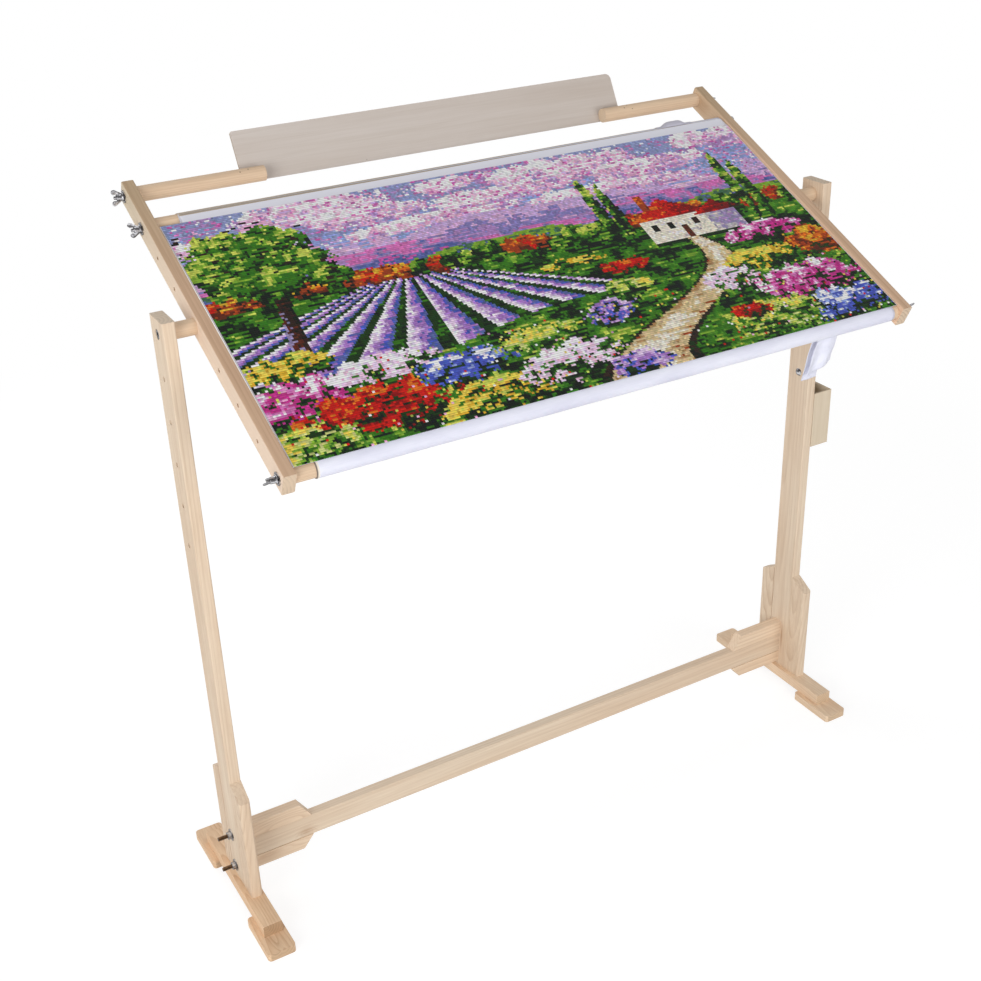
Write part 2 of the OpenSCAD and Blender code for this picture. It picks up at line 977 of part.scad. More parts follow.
// Wing nut along +X from its seat, its wings turned by angle about the axis
module wing_nut(side, u, angle) {
    color(ZINC)
        tilted()
            at_u(u)
                on_side(side)
                    translate([nut_seat, 0, 0])
                        rotate([angle, 0, 0])
                            rotate([0, 90, 0])
                                difference() {
                                    union() {
                                        cylinder(h = nut_foot_h, d = nut_foot_d);
                                        cylinder(h = nut_foot_h + nut_neck_h, d1 = nut_neck_d, d2 = nut_neck_d - nut_neck_taper);
                                        for (turn = [0, 180])
                                            rotate([90, 0, turn])
                                                linear_extrude(wing_t, center = true)
                                                    wing_profile();
                                    }
                                    translate([0, 0, -cut])
                                        cylinder(h = wing_h + 2*cut, d = rod_stud_d + 2*run_gap);
                                }
}

module left_front_wing_nut() { wing_nut(LEFT, front_u, 70); }
module right_front_wing_nut() { wing_nut(RIGHT, front_u, 20); }
module left_back_wing_nut() { wing_nut(LEFT, back_u, 40); }
module right_back_wing_nut() { wing_nut(RIGHT, back_u, 15); }
module left_chart_wing_nut() { wing_nut(LEFT, chart_u, 65); }
module right_chart_wing_nut() { wing_nut(RIGHT, chart_u, 60); }

left_post();
right_post();
left_front_gusset();
left_rear_gusset();
right_front_gusset();
right_rear_gusset();
left_runner();
right_runner();
left_front_pad();
left_rear_pad();
right_front_pad();
right_rear_pad();
stretcher_bar();
left_upper_block();
left_lower_block();
right_upper_block();
right_lower_block();
stretcher_studs();
stretcher_washers();
stretcher_nuts();
foot_screws();
pivot_bolts();
left_spacer();
right_spacer();
box_back();
box_floor();
box_outer_wall();
box_front_wall();
box_rear_wall();
box_nails();
box_bolt();
box_nut();
left_side_bar();
right_side_bar();
pivot_inserts();
rod_washers();
stretched_cloth();
loose_end();
front_rod();
front_studs();
front_cloth_roll();
back_rod();
back_studs();
back_cloth_roll();
left_chart_rod();
right_chart_rod();
chart_studs();
chart_board();
chart_screws();
left_front_wing_nut();
right_front_wing_nut();
left_back_wing_nut();
right_back_wing_nut();
left_chart_wing_nut();
right_chart_wing_nut();
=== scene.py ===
# Looks of a floor stand for embroidery with a tilting scroll frame.
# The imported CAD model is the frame; this adds the cloth, the stitched picture, the threads on the
# studs and the finish of every piece. Metres, in the CAD model's frame.
import json
import math

import bmesh
import bpy
import numpy as np
from mathutils import Matrix, Vector

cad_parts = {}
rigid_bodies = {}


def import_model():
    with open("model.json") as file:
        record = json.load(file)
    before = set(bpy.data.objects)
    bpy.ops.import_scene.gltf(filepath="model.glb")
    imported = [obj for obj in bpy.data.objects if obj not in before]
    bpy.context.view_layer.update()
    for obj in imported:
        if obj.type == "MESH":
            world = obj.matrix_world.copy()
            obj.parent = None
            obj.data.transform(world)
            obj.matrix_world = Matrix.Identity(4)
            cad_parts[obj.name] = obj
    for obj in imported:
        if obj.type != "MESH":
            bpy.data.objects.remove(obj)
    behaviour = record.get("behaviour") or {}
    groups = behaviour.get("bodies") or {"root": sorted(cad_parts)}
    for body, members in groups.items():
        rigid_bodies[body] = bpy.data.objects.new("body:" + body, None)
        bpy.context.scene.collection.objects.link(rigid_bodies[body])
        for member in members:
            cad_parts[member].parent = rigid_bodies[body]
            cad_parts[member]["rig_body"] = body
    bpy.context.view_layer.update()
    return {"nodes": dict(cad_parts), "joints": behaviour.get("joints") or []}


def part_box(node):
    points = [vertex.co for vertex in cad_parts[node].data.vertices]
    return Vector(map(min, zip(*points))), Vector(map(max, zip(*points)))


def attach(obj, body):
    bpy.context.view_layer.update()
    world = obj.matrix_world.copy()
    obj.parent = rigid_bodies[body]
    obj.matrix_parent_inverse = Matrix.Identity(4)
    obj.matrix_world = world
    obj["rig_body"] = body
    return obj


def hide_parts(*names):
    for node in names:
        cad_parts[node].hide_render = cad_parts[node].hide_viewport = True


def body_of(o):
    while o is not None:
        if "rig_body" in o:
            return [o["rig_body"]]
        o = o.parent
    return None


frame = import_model()
nodes = frame["nodes"]
jointAt = {j["name"]: Vector(j["pos_m"]) for j in frame["joints"]}
print("frame loaded with", len(nodes), "CAD pieces")

# The scroll frame's own directions: u towards the worker, v square to the cloth
tiltAxis = jointAt["frame_tilt"]
towardsFront = (jointAt["front_roller_turn"] - tiltAxis).normalized()
squareUp = Vector((0, towardsFront.z, -towardsFront.y))
frontU = (jointAt["front_roller_turn"] - tiltAxis).length
backU = -(jointAt["back_roller_turn"] - tiltAxis).length
chartU = -(jointAt["chart_board_swing"] - tiltAxis).length
# rod: the joint that it turns on and its body
rods = {
    "front": ("front_roller_turn", "front_roller"),
    "back": ("back_roller_turn", "back_roller"),
    "chart": ("chart_board_swing", "chart_holder"),
}


def onFrame(x, u, v):
    return tiltAxis + Vector((x, 0, 0)) + towardsFront * u + squareUp * v


# Helpers for node trees

def linear(colours):
    # Colours as they are seen, 0 to 1, to the linear ones that sockets take
    return np.where(colours <= 0.04045, colours / 12.92, ((colours + 0.055) / 1.055) ** 2.4)


def srgb(*levels):
    return (*(float(c) for c in linear(np.array(levels) / 255)), 1.0)


def feed(node, sockets):
    # Gives inputs a value, or a link from another node's output
    for key, value in sockets.items():
        if isinstance(value, bpy.types.NodeSocket):
            node.id_data.links.new(value, node.inputs[key])
        else:
            node.inputs[key].default_value = value


def put(nt, kind, sockets=None, **settings):
    node = nt.nodes.new(kind)
    for key, value in settings.items():
        setattr(node, key, value)
    feed(node, sockets or {})
    return node


def putNext(kind, sockets, **settings):
    # A node in the tree that its inputs come from
    source = next(v for v in sockets.values() if isinstance(v, bpy.types.NodeSocket))
    return put(source.id_data, kind, sockets, **settings)


def calc(operation, a, b=None):
    sockets = {0: a} if b is None else {0: a, 1: b}
    return putNext("ShaderNodeMath", sockets, operation=operation).outputs[0]


def times(a, b):
    return calc("MULTIPLY", a, b)


def minus(a, b):
    return calc("SUBTRACT", a, b)


def plus(total, *more):
    for term in more:
        total = calc("ADD", total, term)
    return total


def stretch(vector, by, operation="MULTIPLY"):
    return putNext("ShaderNodeVectorMath", {0: vector, 1: by}, operation=operation).outputs[0]


def measure(operation, a, b=(0, 0, 0)):
    # One number from vectors, such as a length, a distance or a dot product
    return putNext("ShaderNodeVectorMath", {0: a, 1: b}, operation=operation).outputs["Value"]


def xyz(vector):
    return putNext("ShaderNodeSeparateXYZ", {0: vector}).outputs[:]


def humps(value):
    # One rounded hump to each whole number
    return calc("ABSOLUTE", calc("SINE", times(value, math.pi)))


def blendColour(factor, a, b, mode="MIX"):
    return putNext("ShaderNodeMix", {0: factor, 6: a, 7: b}, data_type="RGBA", blend_type=mode).outputs[2]


def ramp(value, stops):
    node = putNext("ShaderNodeValToRGB", {0: value})
    while len(node.color_ramp.elements) < len(stops):
        node.color_ramp.elements.new(0.5)
    for element, (position, level) in zip(node.color_ramp.elements, stops):
        element.position = position
        element.color = (level, level, level, 1)
    return node.outputs[0]


def noise(vector, scale, detail=2.0, roughness=0.5):
    sockets = {"Vector": vector, "Scale": scale, "Detail": detail, "Roughness": roughness}
    return putNext("ShaderNodeTexNoise", sockets).outputs[0]


def newGroup(name, inputs):
    # A number makes a plain input, anything else a vector
    nt = bpy.data.node_groups.new(name, "ShaderNodeTree")
    for socketName, value in inputs.items():
        kind = "NodeSocketFloat" if isinstance(value, float) else "NodeSocketVector"
        socket = nt.interface.new_socket(socketName, in_out="INPUT", socket_type=kind)
        if value is not None:
            socket.default_value = value
    return nt, put(nt, "NodeGroupInput").outputs


def giveOut(nt, values):
    for name in values:
        nt.interface.new_socket(name, in_out="OUTPUT", socket_type="NodeSocketFloat")
    put(nt, "NodeGroupOutput", values)
    return nt


def place(group, sockets):
    return putNext("ShaderNodeGroup", sockets, node_tree=group).outputs


def coords(nt, kind="Object"):
    return put(nt, "ShaderNodeTexCoord").outputs[kind]


def newMaterial(name):
    mat = bpy.data.materials.new(name)
    mat.use_nodes = True
    return mat, mat.node_tree, mat.node_tree.nodes["Principled BSDF"]


def bumpInto(shader, height, strength, distance):
    bump = putNext("ShaderNodeBump", {"Strength": strength, "Distance": distance, "Height": height})
    feed(shader, {"Normal": bump.outputs[0]})


# Helpers for meshes

def tubeFaces(rings, around, flip=False):
    # Quads between rings of points, and a face that closes each end
    faces = []
    for n in range(rings - 1):
        for k in range(around):
            a, b = n * around + k, n * around + (k + 1) % around
            faces.append((a, b, b + around, a + around))
    faces.append(tuple(range(around))[::-1])
    faces.append(tuple(range((rings - 1) * around, rings * around)))
    return [f[::-1] for f in faces] if flip else faces


def gridFaces(columns, rows):
    wide = columns + 1
    corners = [j * wide + i for j in range(rows) for i in range(columns)]
    return [(a, a + 1, a + wide + 1, a + wide) for a in corners]


def newObject(name, data):
    ob = bpy.data.objects.new(name, data)
    bpy.context.scene.collection.objects.link(ob)
    return ob


def joinShapes(name, shapes):
    verts, faces = [], []
    for vs, fs in shapes:
        start = len(verts)
        verts += vs
        faces += [tuple(i + start for i in f) for f in fs]
    mesh = bpy.data.meshes.new(name)
    mesh.from_pydata(verts, [], faces)
    mesh.update()
    return newObject(name, mesh)


def finishPiece(ob, mat, body, replaced=()):
    ob.data.materials.append(mat)
    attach(ob, body)
    if replaced:
        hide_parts(*replaced)


def smooth(ob):
    ob.data.polygons.foreach_set("use_smooth", [True] * len(ob.data.polygons))


def coat(piece, mat):
    materials = nodes[piece].data.materials
    materials.clear()
    materials.append(mat)


# Camera, at the photograph's angle

camera = {
    "at": (-0.9114, -1.5128, 1.4241),
    "right": (0.86443, -0.50178, -0.03126),
    "up": (0.25612, 0.38602, 0.88622),
    "forward": (0.43262, 0.77408, -0.46221),
    "lens": 51.39,
    "sensor": 36.0,
}


def makeCamera(c):
    data = bpy.data.cameras.new("camera")
    data.lens = c["lens"]
    data.sensor_width = c["sensor"]
    data.clip_start = 0.05
    data.clip_end = 100
    ob = newObject("camera", data)
    back = -Vector(c["forward"])
    turn = Matrix((c["right"], c["up"], back)).transposed()
    ob.matrix_world = Matrix.Translation(c["at"]) @ turn.to_4x4()
    bpy.context.scene.camera = ob


# Studio: soft boxes, a pale floor that keeps the shadow, and a white surround

studio = {
    "floorSize": 60.0,
    "floorColour": (0.8, 0.8, 0.8, 1),
    "floorShare": 0.26,   # how much of the floor's look takes light and shadow
    "floorGlow": 0.82,
    "fade": (0.9, 2.2),   # the floor turns plain white between these distances from the stand
    "ambient": 0.36,
    "lamps": [
        # name, place, what it points at, width, watts
        ("keyBox", (-2.8, -1.9, 1.35), (0.0, 0.0, 0.5), 1.8, 58),
        ("frontBox", (0.8, -3.3, 1.15), (0.0, 0.0, 0.5), 1.8, 38),
        ("topBox", (0.2, 0.2, 3.4), (0.0, 0.0, 0.6), 2.4, 8),
        ("backBox", (-0.8, 3.2, 1.6), (0.0, 0.0, 0.2), 1.8, 46),
    ],
}


def seenRays(nt):
    # 1 for what the camera sees directly, in a reflection or through something clear
    path = put(nt, "ShaderNodeLightPath").outputs
    seen = calc("MAXIMUM", path["Is Camera Ray"], path["Is Glossy Ray"])
    return calc("MAXIMUM", seen, path["Is Transmission Ray"])


def mixShaders(nt, first, second, outKind):
    mix = put(nt, "ShaderNodeMixShader", {0: seenRays(nt), 1: first.outputs[0], 2: second.outputs[0]})
    put(nt, outKind, {"Surface": mix.outputs[0]})


def makeSurround(s):
    world = bpy.data.worlds.new("surround")
    world.use_nodes = True
    bpy.context.scene.world = world
    nt = world.node_tree
    nt.nodes.clear()
    white = (1, 1, 1, 1)
    light = put(nt, "ShaderNodeBackground", {"Color": white, "Strength": s["ambient"]})
    seen = put(nt, "ShaderNodeBackground", {"Color": white, "Strength": 1.0})
    mixShaders(nt, light, seen, "ShaderNodeOutputWorld")


def makeFloor(s):
    half = s["floorSize"] / 2
    corners = [(-half, -half, 0), (half, -half, 0), (half, half, 0), (-half, half, 0)]
    floor = joinShapes("floor", [(corners, [(0, 1, 2, 3)])])
    mat = bpy.data.materials.new("paleFloor")
    mat.use_nodes = True
    nt = mat.node_tree
    nt.nodes.clear()
    near, far = s["fade"]
    reach = {"Value": measure("LENGTH", coords(nt)), "From Min": near, "From Max": far}
    faded = put(nt, "ShaderNodeMapRange", reach, interpolation_type="SMOOTHSTEP").outputs[0]
    share = times(minus(1.0, faded), s["floorShare"])
    strength = plus(times(faded, 1 - s["floorGlow"]), s["floorGlow"])
    lit = put(nt, "ShaderNodeBsdfDiffuse", {"Color": share})
    glow = put(nt, "ShaderNodeEmission", {"Strength": strength})
    both = put(nt, "ShaderNodeAddShader", {0: lit.outputs[0], 1: glow.outputs[0]})
    full = put(nt, "ShaderNodeBsdfDiffuse", {"Color": s["floorColour"]})
    mixShaders(nt, full, both, "ShaderNodeOutputMaterial")
    floor.data.materials.append(mat)


def makeStudio(s):
    bpy.context.scene.view_settings.view_transform = "Standard"
    makeSurround(s)
    makeFloor(s)
    for name, at, target, width, watts in s["lamps"]:
        lamp = bpy.data.lights.new(name, "AREA")
        lamp.shape = "SQUARE"
        lamp.size = width
        lamp.energy = watts
        ob = newObject(name, lamp)
        ob.location = at
        ob.rotation_euler = (Vector(target) - Vector(at)).to_track_quat("-Z", "Y").to_euler()


# Wood grain: year rings about a pith that runs along Z, fibres, slow tone and the end grain
def woodGrainGroup():
    nt, given = newGroup("woodGrain", {
        "Vector": None, "Along": (0, 0, 1), "Ring Width": 0.004, "Wander": 0.008, "Shiver": 0.0012,
        "Fibre": 900.0, "Bend": 0.0,
    })

    def drawnOut(squash, scale, detail, roughness=0.5):
        # Noise that is long along the grain
        return noise(stretch(given["Vector"], (1, 1, squash)), scale, detail, roughness)

    x, y = xyz(given["Vector"])[:2]
    radius = calc("SQRT", plus(times(x, x), times(y, y)))
    drift = times(minus(drawnOut(0.16, 14, 3, 0.55), 0.5), given["Wander"])
    shiver = times(minus(drawnOut(0.04, 130, 2), 0.5), given["Shiver"])
    radius = plus(radius, drift, shiver, given["Bend"])
    phase = calc("FRACT", calc("DIVIDE", radius, given["Ring Width"]))
    rings = ramp(phase, [(0.0, 0.04), (0.4, 0.14), (0.78, 0.7), (0.9, 1.0), (1.0, 0.06)])
    rings = times(rings, ramp(drawnOut(0.12, 34, 2, 0.6), [(0.34, 0.25), (0.62, 1.0)]))
    fine = ramp(drawnOut(0.018, given["Fibre"], 3), [(0.32, 0.0), (0.68, 1.0)])
    streaks = ramp(drawnOut(0.02, 210, 3, 0.6), [(0.44, 0.0), (0.7, 1.0)])
    fibres = times(plus(fine, streaks), 0.5)
    tone = ramp(drawnOut(0.1, 22, 2), [(0.3, 0.0), (0.7, 1.0)])
    facing = calc("ABSOLUTE", measure("DOT_PRODUCT", coords(nt, "Normal"), given["Along"]))
    end = ramp(facing, [(0.9, 0.0), (0.97, 1.0)])
    height = minus(times(fibres, 0.6), times(rings, 0.5))
    return giveOut(nt, {"Rings": rings, "Fibres": fibres, "Tone": tone, "End": end, "Height": height})


# Plain weave: two sets of threads that pass over and under each other
def clothWeaveGroup():
    nt, given = newGroup("clothWeave", {"Vector": None, "Threads": 1100.0})
    sockets = {0: given["Vector"], "Scale": given["Threads"]}
    scaled = put(nt, "ShaderNodeVectorMath", sockets, operation="SCALE").outputs[0]
    x, y = xyz(scaled)[:2]
    warp, weft = humps(x), humps(y)
    over = calc("PINGPONG", plus(calc("FLOOR", x), calc("FLOOR", y)), 1.0)
    height = plus(times(warp, over), times(weft, minus(1.0, over)))
    gap = ramp(calc("MINIMUM", warp, weft), [(0.05, 1.0), (0.35, 0.0)])
    slub = noise(stretch(scaled, (0.02, 0.3, 1)), 1.0, 2, 0.6)
    return giveOut(nt, {"Height": height, "Gap": gap, "Slub": slub})


# Plating: fine scratches, and a painted reflection that makes faces light or dark by the way they point, with
# cloudy edges
def reflectionAndScratchesGroup():
    nt, given = newGroup("reflectionAndScratches", {"Vector": None, "Upward": 0.4, "Sideways": 0.05, "Cloudy": 0.16})
    clouds = ramp(noise(given["Vector"], 260, 3, 0.6), [(0.3, 0.0), (0.7, 1.0)])
    scratches = noise(stretch(given["Vector"], (1, 0.15, 1)), 3000, 2, 0.6)
    x, y, z = xyz(coords(nt, "Normal"))
    tilt = plus(times(z, given["Upward"]), times(x, given["Sideways"]), 0.5,
                times(minus(clouds, 0.5), given["Cloudy"]))
    # Painted reflection: bands of light and dark by how far each face points up
    shine = ramp(tilt, [(0.0, 0.05), (0.18, 0.0), (0.32, 0.6), (0.41, 0.95), (0.5, 0.34), (0.57, 0.08),
                        (0.74, 0.12), (0.88, 1.0)])
    return giveOut(nt, {"Scratches": scratches, "Painted Reflection": shine})


# Raised stitches: each is a small cushion crossed by two threads, with painted shade in the gap round it
def crossStitchGroup():
    nt, given = newGroup("crossStitch", {"Vector": None, "Strand Height": 0.12})
    column, line = xyz(given["Vector"])[:2]
    down = humps(line)
    cushion = calc("SQRT", times(calc("SQRT", humps(column)), down))
    slant = times(plus(column, line), 6 * math.pi)
    strand = times(plus(calc("SINE", slant), 1.0), 0.5)
    worked = times(calc("GREATER_THAN", line, 0.0), calc("GREATER_THAN", column, 0.0))
    height = times(plus(cushion, times(strand, given["Strand Height"])), worked)
    gap = times(ramp(down, [(0.06, 1.0), (0.5, 0.0)]), worked)
    return giveOut(nt, {"Height": height, "Gap": gap, "Strand": strand})


woodGrain = woodGrainGroup()
clothWeave = clothWeaveGroup()
reflectionAndScratches = reflectionAndScratchesGroup()
crossStitch = crossStitchGroup()


# Wood: colours and grain of each kind, and which way the grain of each piece runs

woodKinds = {
    # kind: pale and dark wood, blush and end grain as they are seen, width of a year ring in millimetres,
    # how strong the rings are, fibres to the metre, roughness
    "pine": ((232, 215, 192), (188, 157, 126), (223, 199, 173), (212, 193, 170), 4.6, 0.36, 900, 0.62),
    "gussetPine": ((233, 215, 191), (184, 151, 120), (224, 199, 172), (212, 193, 170), 5.2, 0.62, 900, 0.62),
    # blockPine is a paler copy of pine, painted light for the blocks, whose tops lie in the frame's shade
    "blockPine": ((240, 219, 194), (202, 169, 136), (232, 207, 179), (214, 188, 160), 5.0, 0.6, 900, 0.62),
    "pineWarm": ((240, 212, 178), (198, 154, 114), (230, 194, 156), (200, 168, 134), 5.0, 0.66, 900, 0.62),
    "footPine": ((242, 214, 180), (200, 156, 116), (232, 196, 158), (172, 138, 104), 4.0, 0.7, 900, 0.62),
    "palePine": ((246, 224, 196), (208, 172, 136), (238, 208, 176), (212, 184, 152), 4.4, 0.58, 900, 0.62),
    "barPine": ((220, 190, 160), (172, 134, 104), (206, 172, 142), (216, 194, 168), 4.4, 0.55, 900, 0.62),
    "dowel": ((234, 209, 179), (190, 156, 125), (221, 192, 161), (216, 192, 164), 3.0, 0.42, 1100, 0.58),
    "ply": ((206, 197, 190), (184, 170, 158), (199, 188, 179), (168, 150, 130), 14.0, 0.38, 700, 0.66),
    "plyPale": ((222, 208, 186), (194, 172, 142), (212, 196, 172), (176, 156, 128), 12.0, 0.42, 700, 0.66),
    "plyInside": ((188, 164, 132), (152, 124, 90), (172, 146, 114), (150, 124, 96), 10.0, 0.5, 700, 0.66),
}
woodLook = {
    "cutApart": 0.37,     # how far apart along the grain the pieces are cut
    "fibres": 0.46,       # how strong the fibres are
    "endGrain": 0.85,
    "endRings": 0.68,     # the rings on the end grain, as a share of its colour
    "grit": 0.12,         # how much rougher the fibres are
    "relief": (0.35, 0.0002),
    "stain": srgb(164, 118, 78),
    "nailHole": srgb(110, 88, 68),
}
# Painted light and shade on the bars: their outer and inner faces are painted paler than their tops, and all
# grow darker and greyer towards the back as painted shade
barPaintedLight = {
    "outer": srgb(240, 218, 196),
    "inner": srgb(246, 208, 178),
    "paintedBackShade": (0.76, 0.8, 0.74, 1),
}
upright, acrossX, alongY = Vector((0, 0, 1)), Vector((1, 0, 0)), Vector((0, 1, 0))
# Grain that runs out through the broad face, which draws arches on it
leaningOut = Vector((0.11, 0, 1)).normalized()
leaningUp = Vector((0, 1, 0.09)).normalized()
slightlyOut = Vector((0.02, 0.012, 1)).normalized()
woodPieces = [
    # kind, grain direction, and its pieces with how far the pith lies from each
    ("pine", slightlyOut, {"left_post": (0.026, 0.01), "right_post": (0.034, -0.016)}),
    ("gussetPine", leaningOut, {
        "left_front_gusset": (0.024, 0.006), "left_rear_gusset": (0.02, -0.008),
        "right_front_gusset": (0.026, -0.005), "right_rear_gusset": (0.03, 0.01),
    }),
    ("footPine", leaningUp, {"left_runner": (0.01, 0.016)}),
    ("palePine", leaningUp, {"right_runner": (0.012, 0.022)}),
    ("pineWarm", leaningUp, {"left_front_pad": (0.006, 0.02), "left_rear_pad": (0.014, 0.018)}),
    ("palePine", leaningUp, {"right_front_pad": (0.004, 0.02), "right_rear_pad": (0.012, 0.016)}),
    ("pine", acrossX, {"stretcher_bar": (0.03, 0.04)}),
    ("blockPine", acrossX, {
        "left_upper_block": (0.02, 0.028), "left_lower_block": (0.032, 0.018),
        "right_upper_block": (0.026, 0.03), "right_lower_block": (0.018, 0.036),
    }),
    ("barPine", towardsFront, {"left_side_bar": (0.04, 0.014), "right_side_bar": (0.03, 0.034)}),
    ("dowel", acrossX, {
        "left_spacer": (0.012, 0.008), "right_spacer": (0.01, 0.012), "front_rod": (0.014, 0.006),
        "back_rod": (0.008, 0.014), "left_chart_rod": (0.011, 0.01), "right_chart_rod": (0.013, 0.009),
    }),
    ("ply", acrossX, {"chart_board": (0.06, 0.08)}),
    ("plyPale", upright, {
        "box_back": (0.05, 0.06), "box_outer_wall": (0.07, 0.04), "box_front_wall": (0.04, 0.06),
        "box_rear_wall": (0.05, 0.05),
    }),
    ("plyInside", alongY, {"box_floor": (0.04, 0.06)}),
]
chartAxis = jointAt["chart_board_swing"]


def onBoard(x, share):
    # share is how far up the board's face
    at = Vector.lerp(*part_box("chart_board"), share)
    at.x = x
    return at


def onRod(x, y, z):
    return Vector((x, chartAxis.y + y, chartAxis.z + z))


# Small nail holes: place of the middle, radius
spots = {
    "chart_board": [(onBoard(-0.175, 0.83), 0.0014), (onBoard(-0.046, 0.58), 0.0014),
                    (onBoard(-0.115, 0.05), 0.0011), (onBoard(0.205, 0.76), 0.0012)],
    "left_chart_rod": [(onRod(-0.302, -0.0062, 0.0078), 0.0011), (onRod(-0.29, -0.004, 0.0092), 0.0011)],
    "right_chart_rod": [(onRod(0.302, -0.0062, 0.0078), 0.0011), (onRod(0.315, -0.0085, 0.0052), 0.001),
                        (onRod(0.309, -0.002, 0.0098), 0.001)],
}


def onPiece(piece, x, y, z):
    # 0 is the piece's low side and 1 its high side, each way
    low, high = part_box(piece)
    return Vector((low.x + (high.x - low.x) * x, low.y + (high.y - low.y) * y, low.z + (high.z - low.z) * z))


# Knots and swirls, and a narrow dark streak on the right post's inner face where it meets the front gusset:
# place of the middle, half the size each way, how far the rings bend, how brown it is
figures = {
    "right_post": (Vector((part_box("right_post")[0].x, -0.0125, 0.088)), (0.004, 0.0033, 0.0385), 0.0, 0.85),
    "stretcher_bar": (
        Vector((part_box("left_lower_block")[1].x - 0.01, *onPiece("stretcher_bar", 0, 0, 0.26).yz)),
        (0.02, 0.012, 0.012), 0.014, 0.55),
    "left_upper_block": (onPiece("left_upper_block", 0.62, 0, 0.35), (0.06, 0.02, 0.016), 0.01, 0.1),
    "left_lower_block": (onPiece("left_lower_block", 0.3, 0, 0.9), (0.07, 0.02, 0.014), 0.012, 0.1),
    "left_front_gusset": (onPiece("left_front_gusset", 0, 0.45, 0.4), (0.02, 0.024, 0.11), 0.014, 0.12),
    "right_rear_gusset": (onPiece("right_rear_gusset", 1, 0.5, 0.35), (0.02, 0.01, 0.07), 0.012, 0.1),
    "left_front_pad": (onPiece("left_front_pad", 0.45, 0.3, 1), (0.009, 0.045, 0.02), 0.009, 0.15),
    "right_side_bar": (onPiece("right_side_bar", 0, 0.93, 0.9), (0.01, 0.022, 0.018), 0.01, 0.35),
}


def nearness(position, middle, reach):
    # 1 at the middle, 0 at the edge of an ellipsoid
    off = stretch(stretch(position, middle, "SUBTRACT"), tuple(1 / r for r in reach))
    return ramp(measure("LENGTH", off), [(0.0, 1.0), (0.3, 0.8), (0.7, 0.22), (1.0, 0.0)])


def paintBarLight(nt, here, rightBar, body):
    # Painted light: the outer and inner faces are made paler than the tops
    outward = times(xyz(coords(nt, "Normal"))[0], 1.0 if rightBar else -1.0)
    body = blendColour(ramp(outward, [(0.5, 0.0), (0.9, 0.75)]), body, barPaintedLight["outer"])
    inward = times(outward, -1.0)
    body = blendColour(ramp(inward, [(0.5, 0.0), (0.9, 0.5)]), body, barPaintedLight["inner"])
    # Painted shade: every face grows darker towards the back
    # 0 at the chart rods and 1 at the tilt axis
    run = minus(measure("DOT_PRODUCT", here, towardsFront), tiltAxis.dot(towardsFront) + chartU)
    paintedBackShadeMask = ramp(calc("DIVIDE", run, -chartU), [(0.0, 1.0), (0.9, 0.0)])
    return blendColour(paintedBackShadeMask, body, barPaintedLight["paintedBackShade"], "MULTIPLY")


def woodMaterial(piece, kindName, along, pith, number):
    *shades, ring, contrast, fibre, rough = woodKinds[kindName]
    light, dark, blush, end = (srgb(*shade) for shade in shades)
    mat, nt, shader = newMaterial("wood_" + piece)
    low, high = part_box(piece)
    centre = (low + high) / 2
    turn = along.rotation_difference(upright).to_matrix()
    offset = Vector((*pith, woodLook["cutApart"] * number)) - turn @ centre
    here = coords(nt)
    mapping = put(nt, "ShaderNodeMapping", {"Vector": here, "Location": offset, "Rotation": turn.to_euler()})
    sockets = {"Vector": mapping.outputs[0], "Along": along, "Ring Width": ring / 1000, "Fibre": fibre}
    if piece in figures:
        middle, reach, bend, brown = figures[piece]
        knot = nearness(here, middle, reach)
        sockets["Bend"] = times(knot, bend)
    grain = place(woodGrain, sockets)
    body = blendColour(grain["Tone"], light, blush)
    body = blendColour(times(grain["Rings"], contrast), body, dark)
    body = blendColour(times(grain["Fibres"], woodLook["fibres"]), body, dark)
    endDark = (*(woodLook["endRings"] * c for c in end[:3]), 1)
    endRings = blendColour(grain["Rings"], end, endDark)
    body = blendColour(times(grain["End"], woodLook["endGrain"]), body, endRings)
    if kindName == "barPine":
        body = paintBarLight(nt, here, centre.x > 0, body)
    if piece in figures:
        stain = times(times(knot, brown), plus(grain["Fibres"], 0.45))
        body = blendColour(stain, body, woodLook["stain"])
    for middle, radius in spots.get(piece, ()):
        away = calc("DIVIDE", measure("DISTANCE", here, middle), 1.3 * radius)
        body = blendColour(ramp(away, [(0.55, 0.8), (0.8, 0.0)]), body, woodLook["nailHole"])
    rough = plus(times(grain["Fibres"], woodLook["grit"]), rough)
    feed(shader, {"Base Color": body, "Roughness": rough})
    bumpInto(shader, grain["Height"], *woodLook["relief"])
    coat(piece, mat)


# Metal finishes

# light and dark are the two ends of the painted reflection; dark is also the painted dark rim
metalKinds = {
    "zinc": {"light": srgb(226, 226, 230), "dark": srgb(46, 42, 42), "low": 0.2, "high": 0.40},
    "darkSteel": {"light": srgb(150, 116, 84), "dark": srgb(46, 32, 24), "low": 0.34, "high": 0.55},
}
metalLook = {
    "rim": 0.3,           # how broad the dark rim of a round face is
    "relief": (0.15, 0.0001),
}
zincPieces = [
    "stretcher_washers", "stretcher_nuts", "foot_screws", "pivot_bolts", "box_nails", "box_bolt", "box_nut",
    "pivot_inserts", "rod_washers", "chart_screws",
]


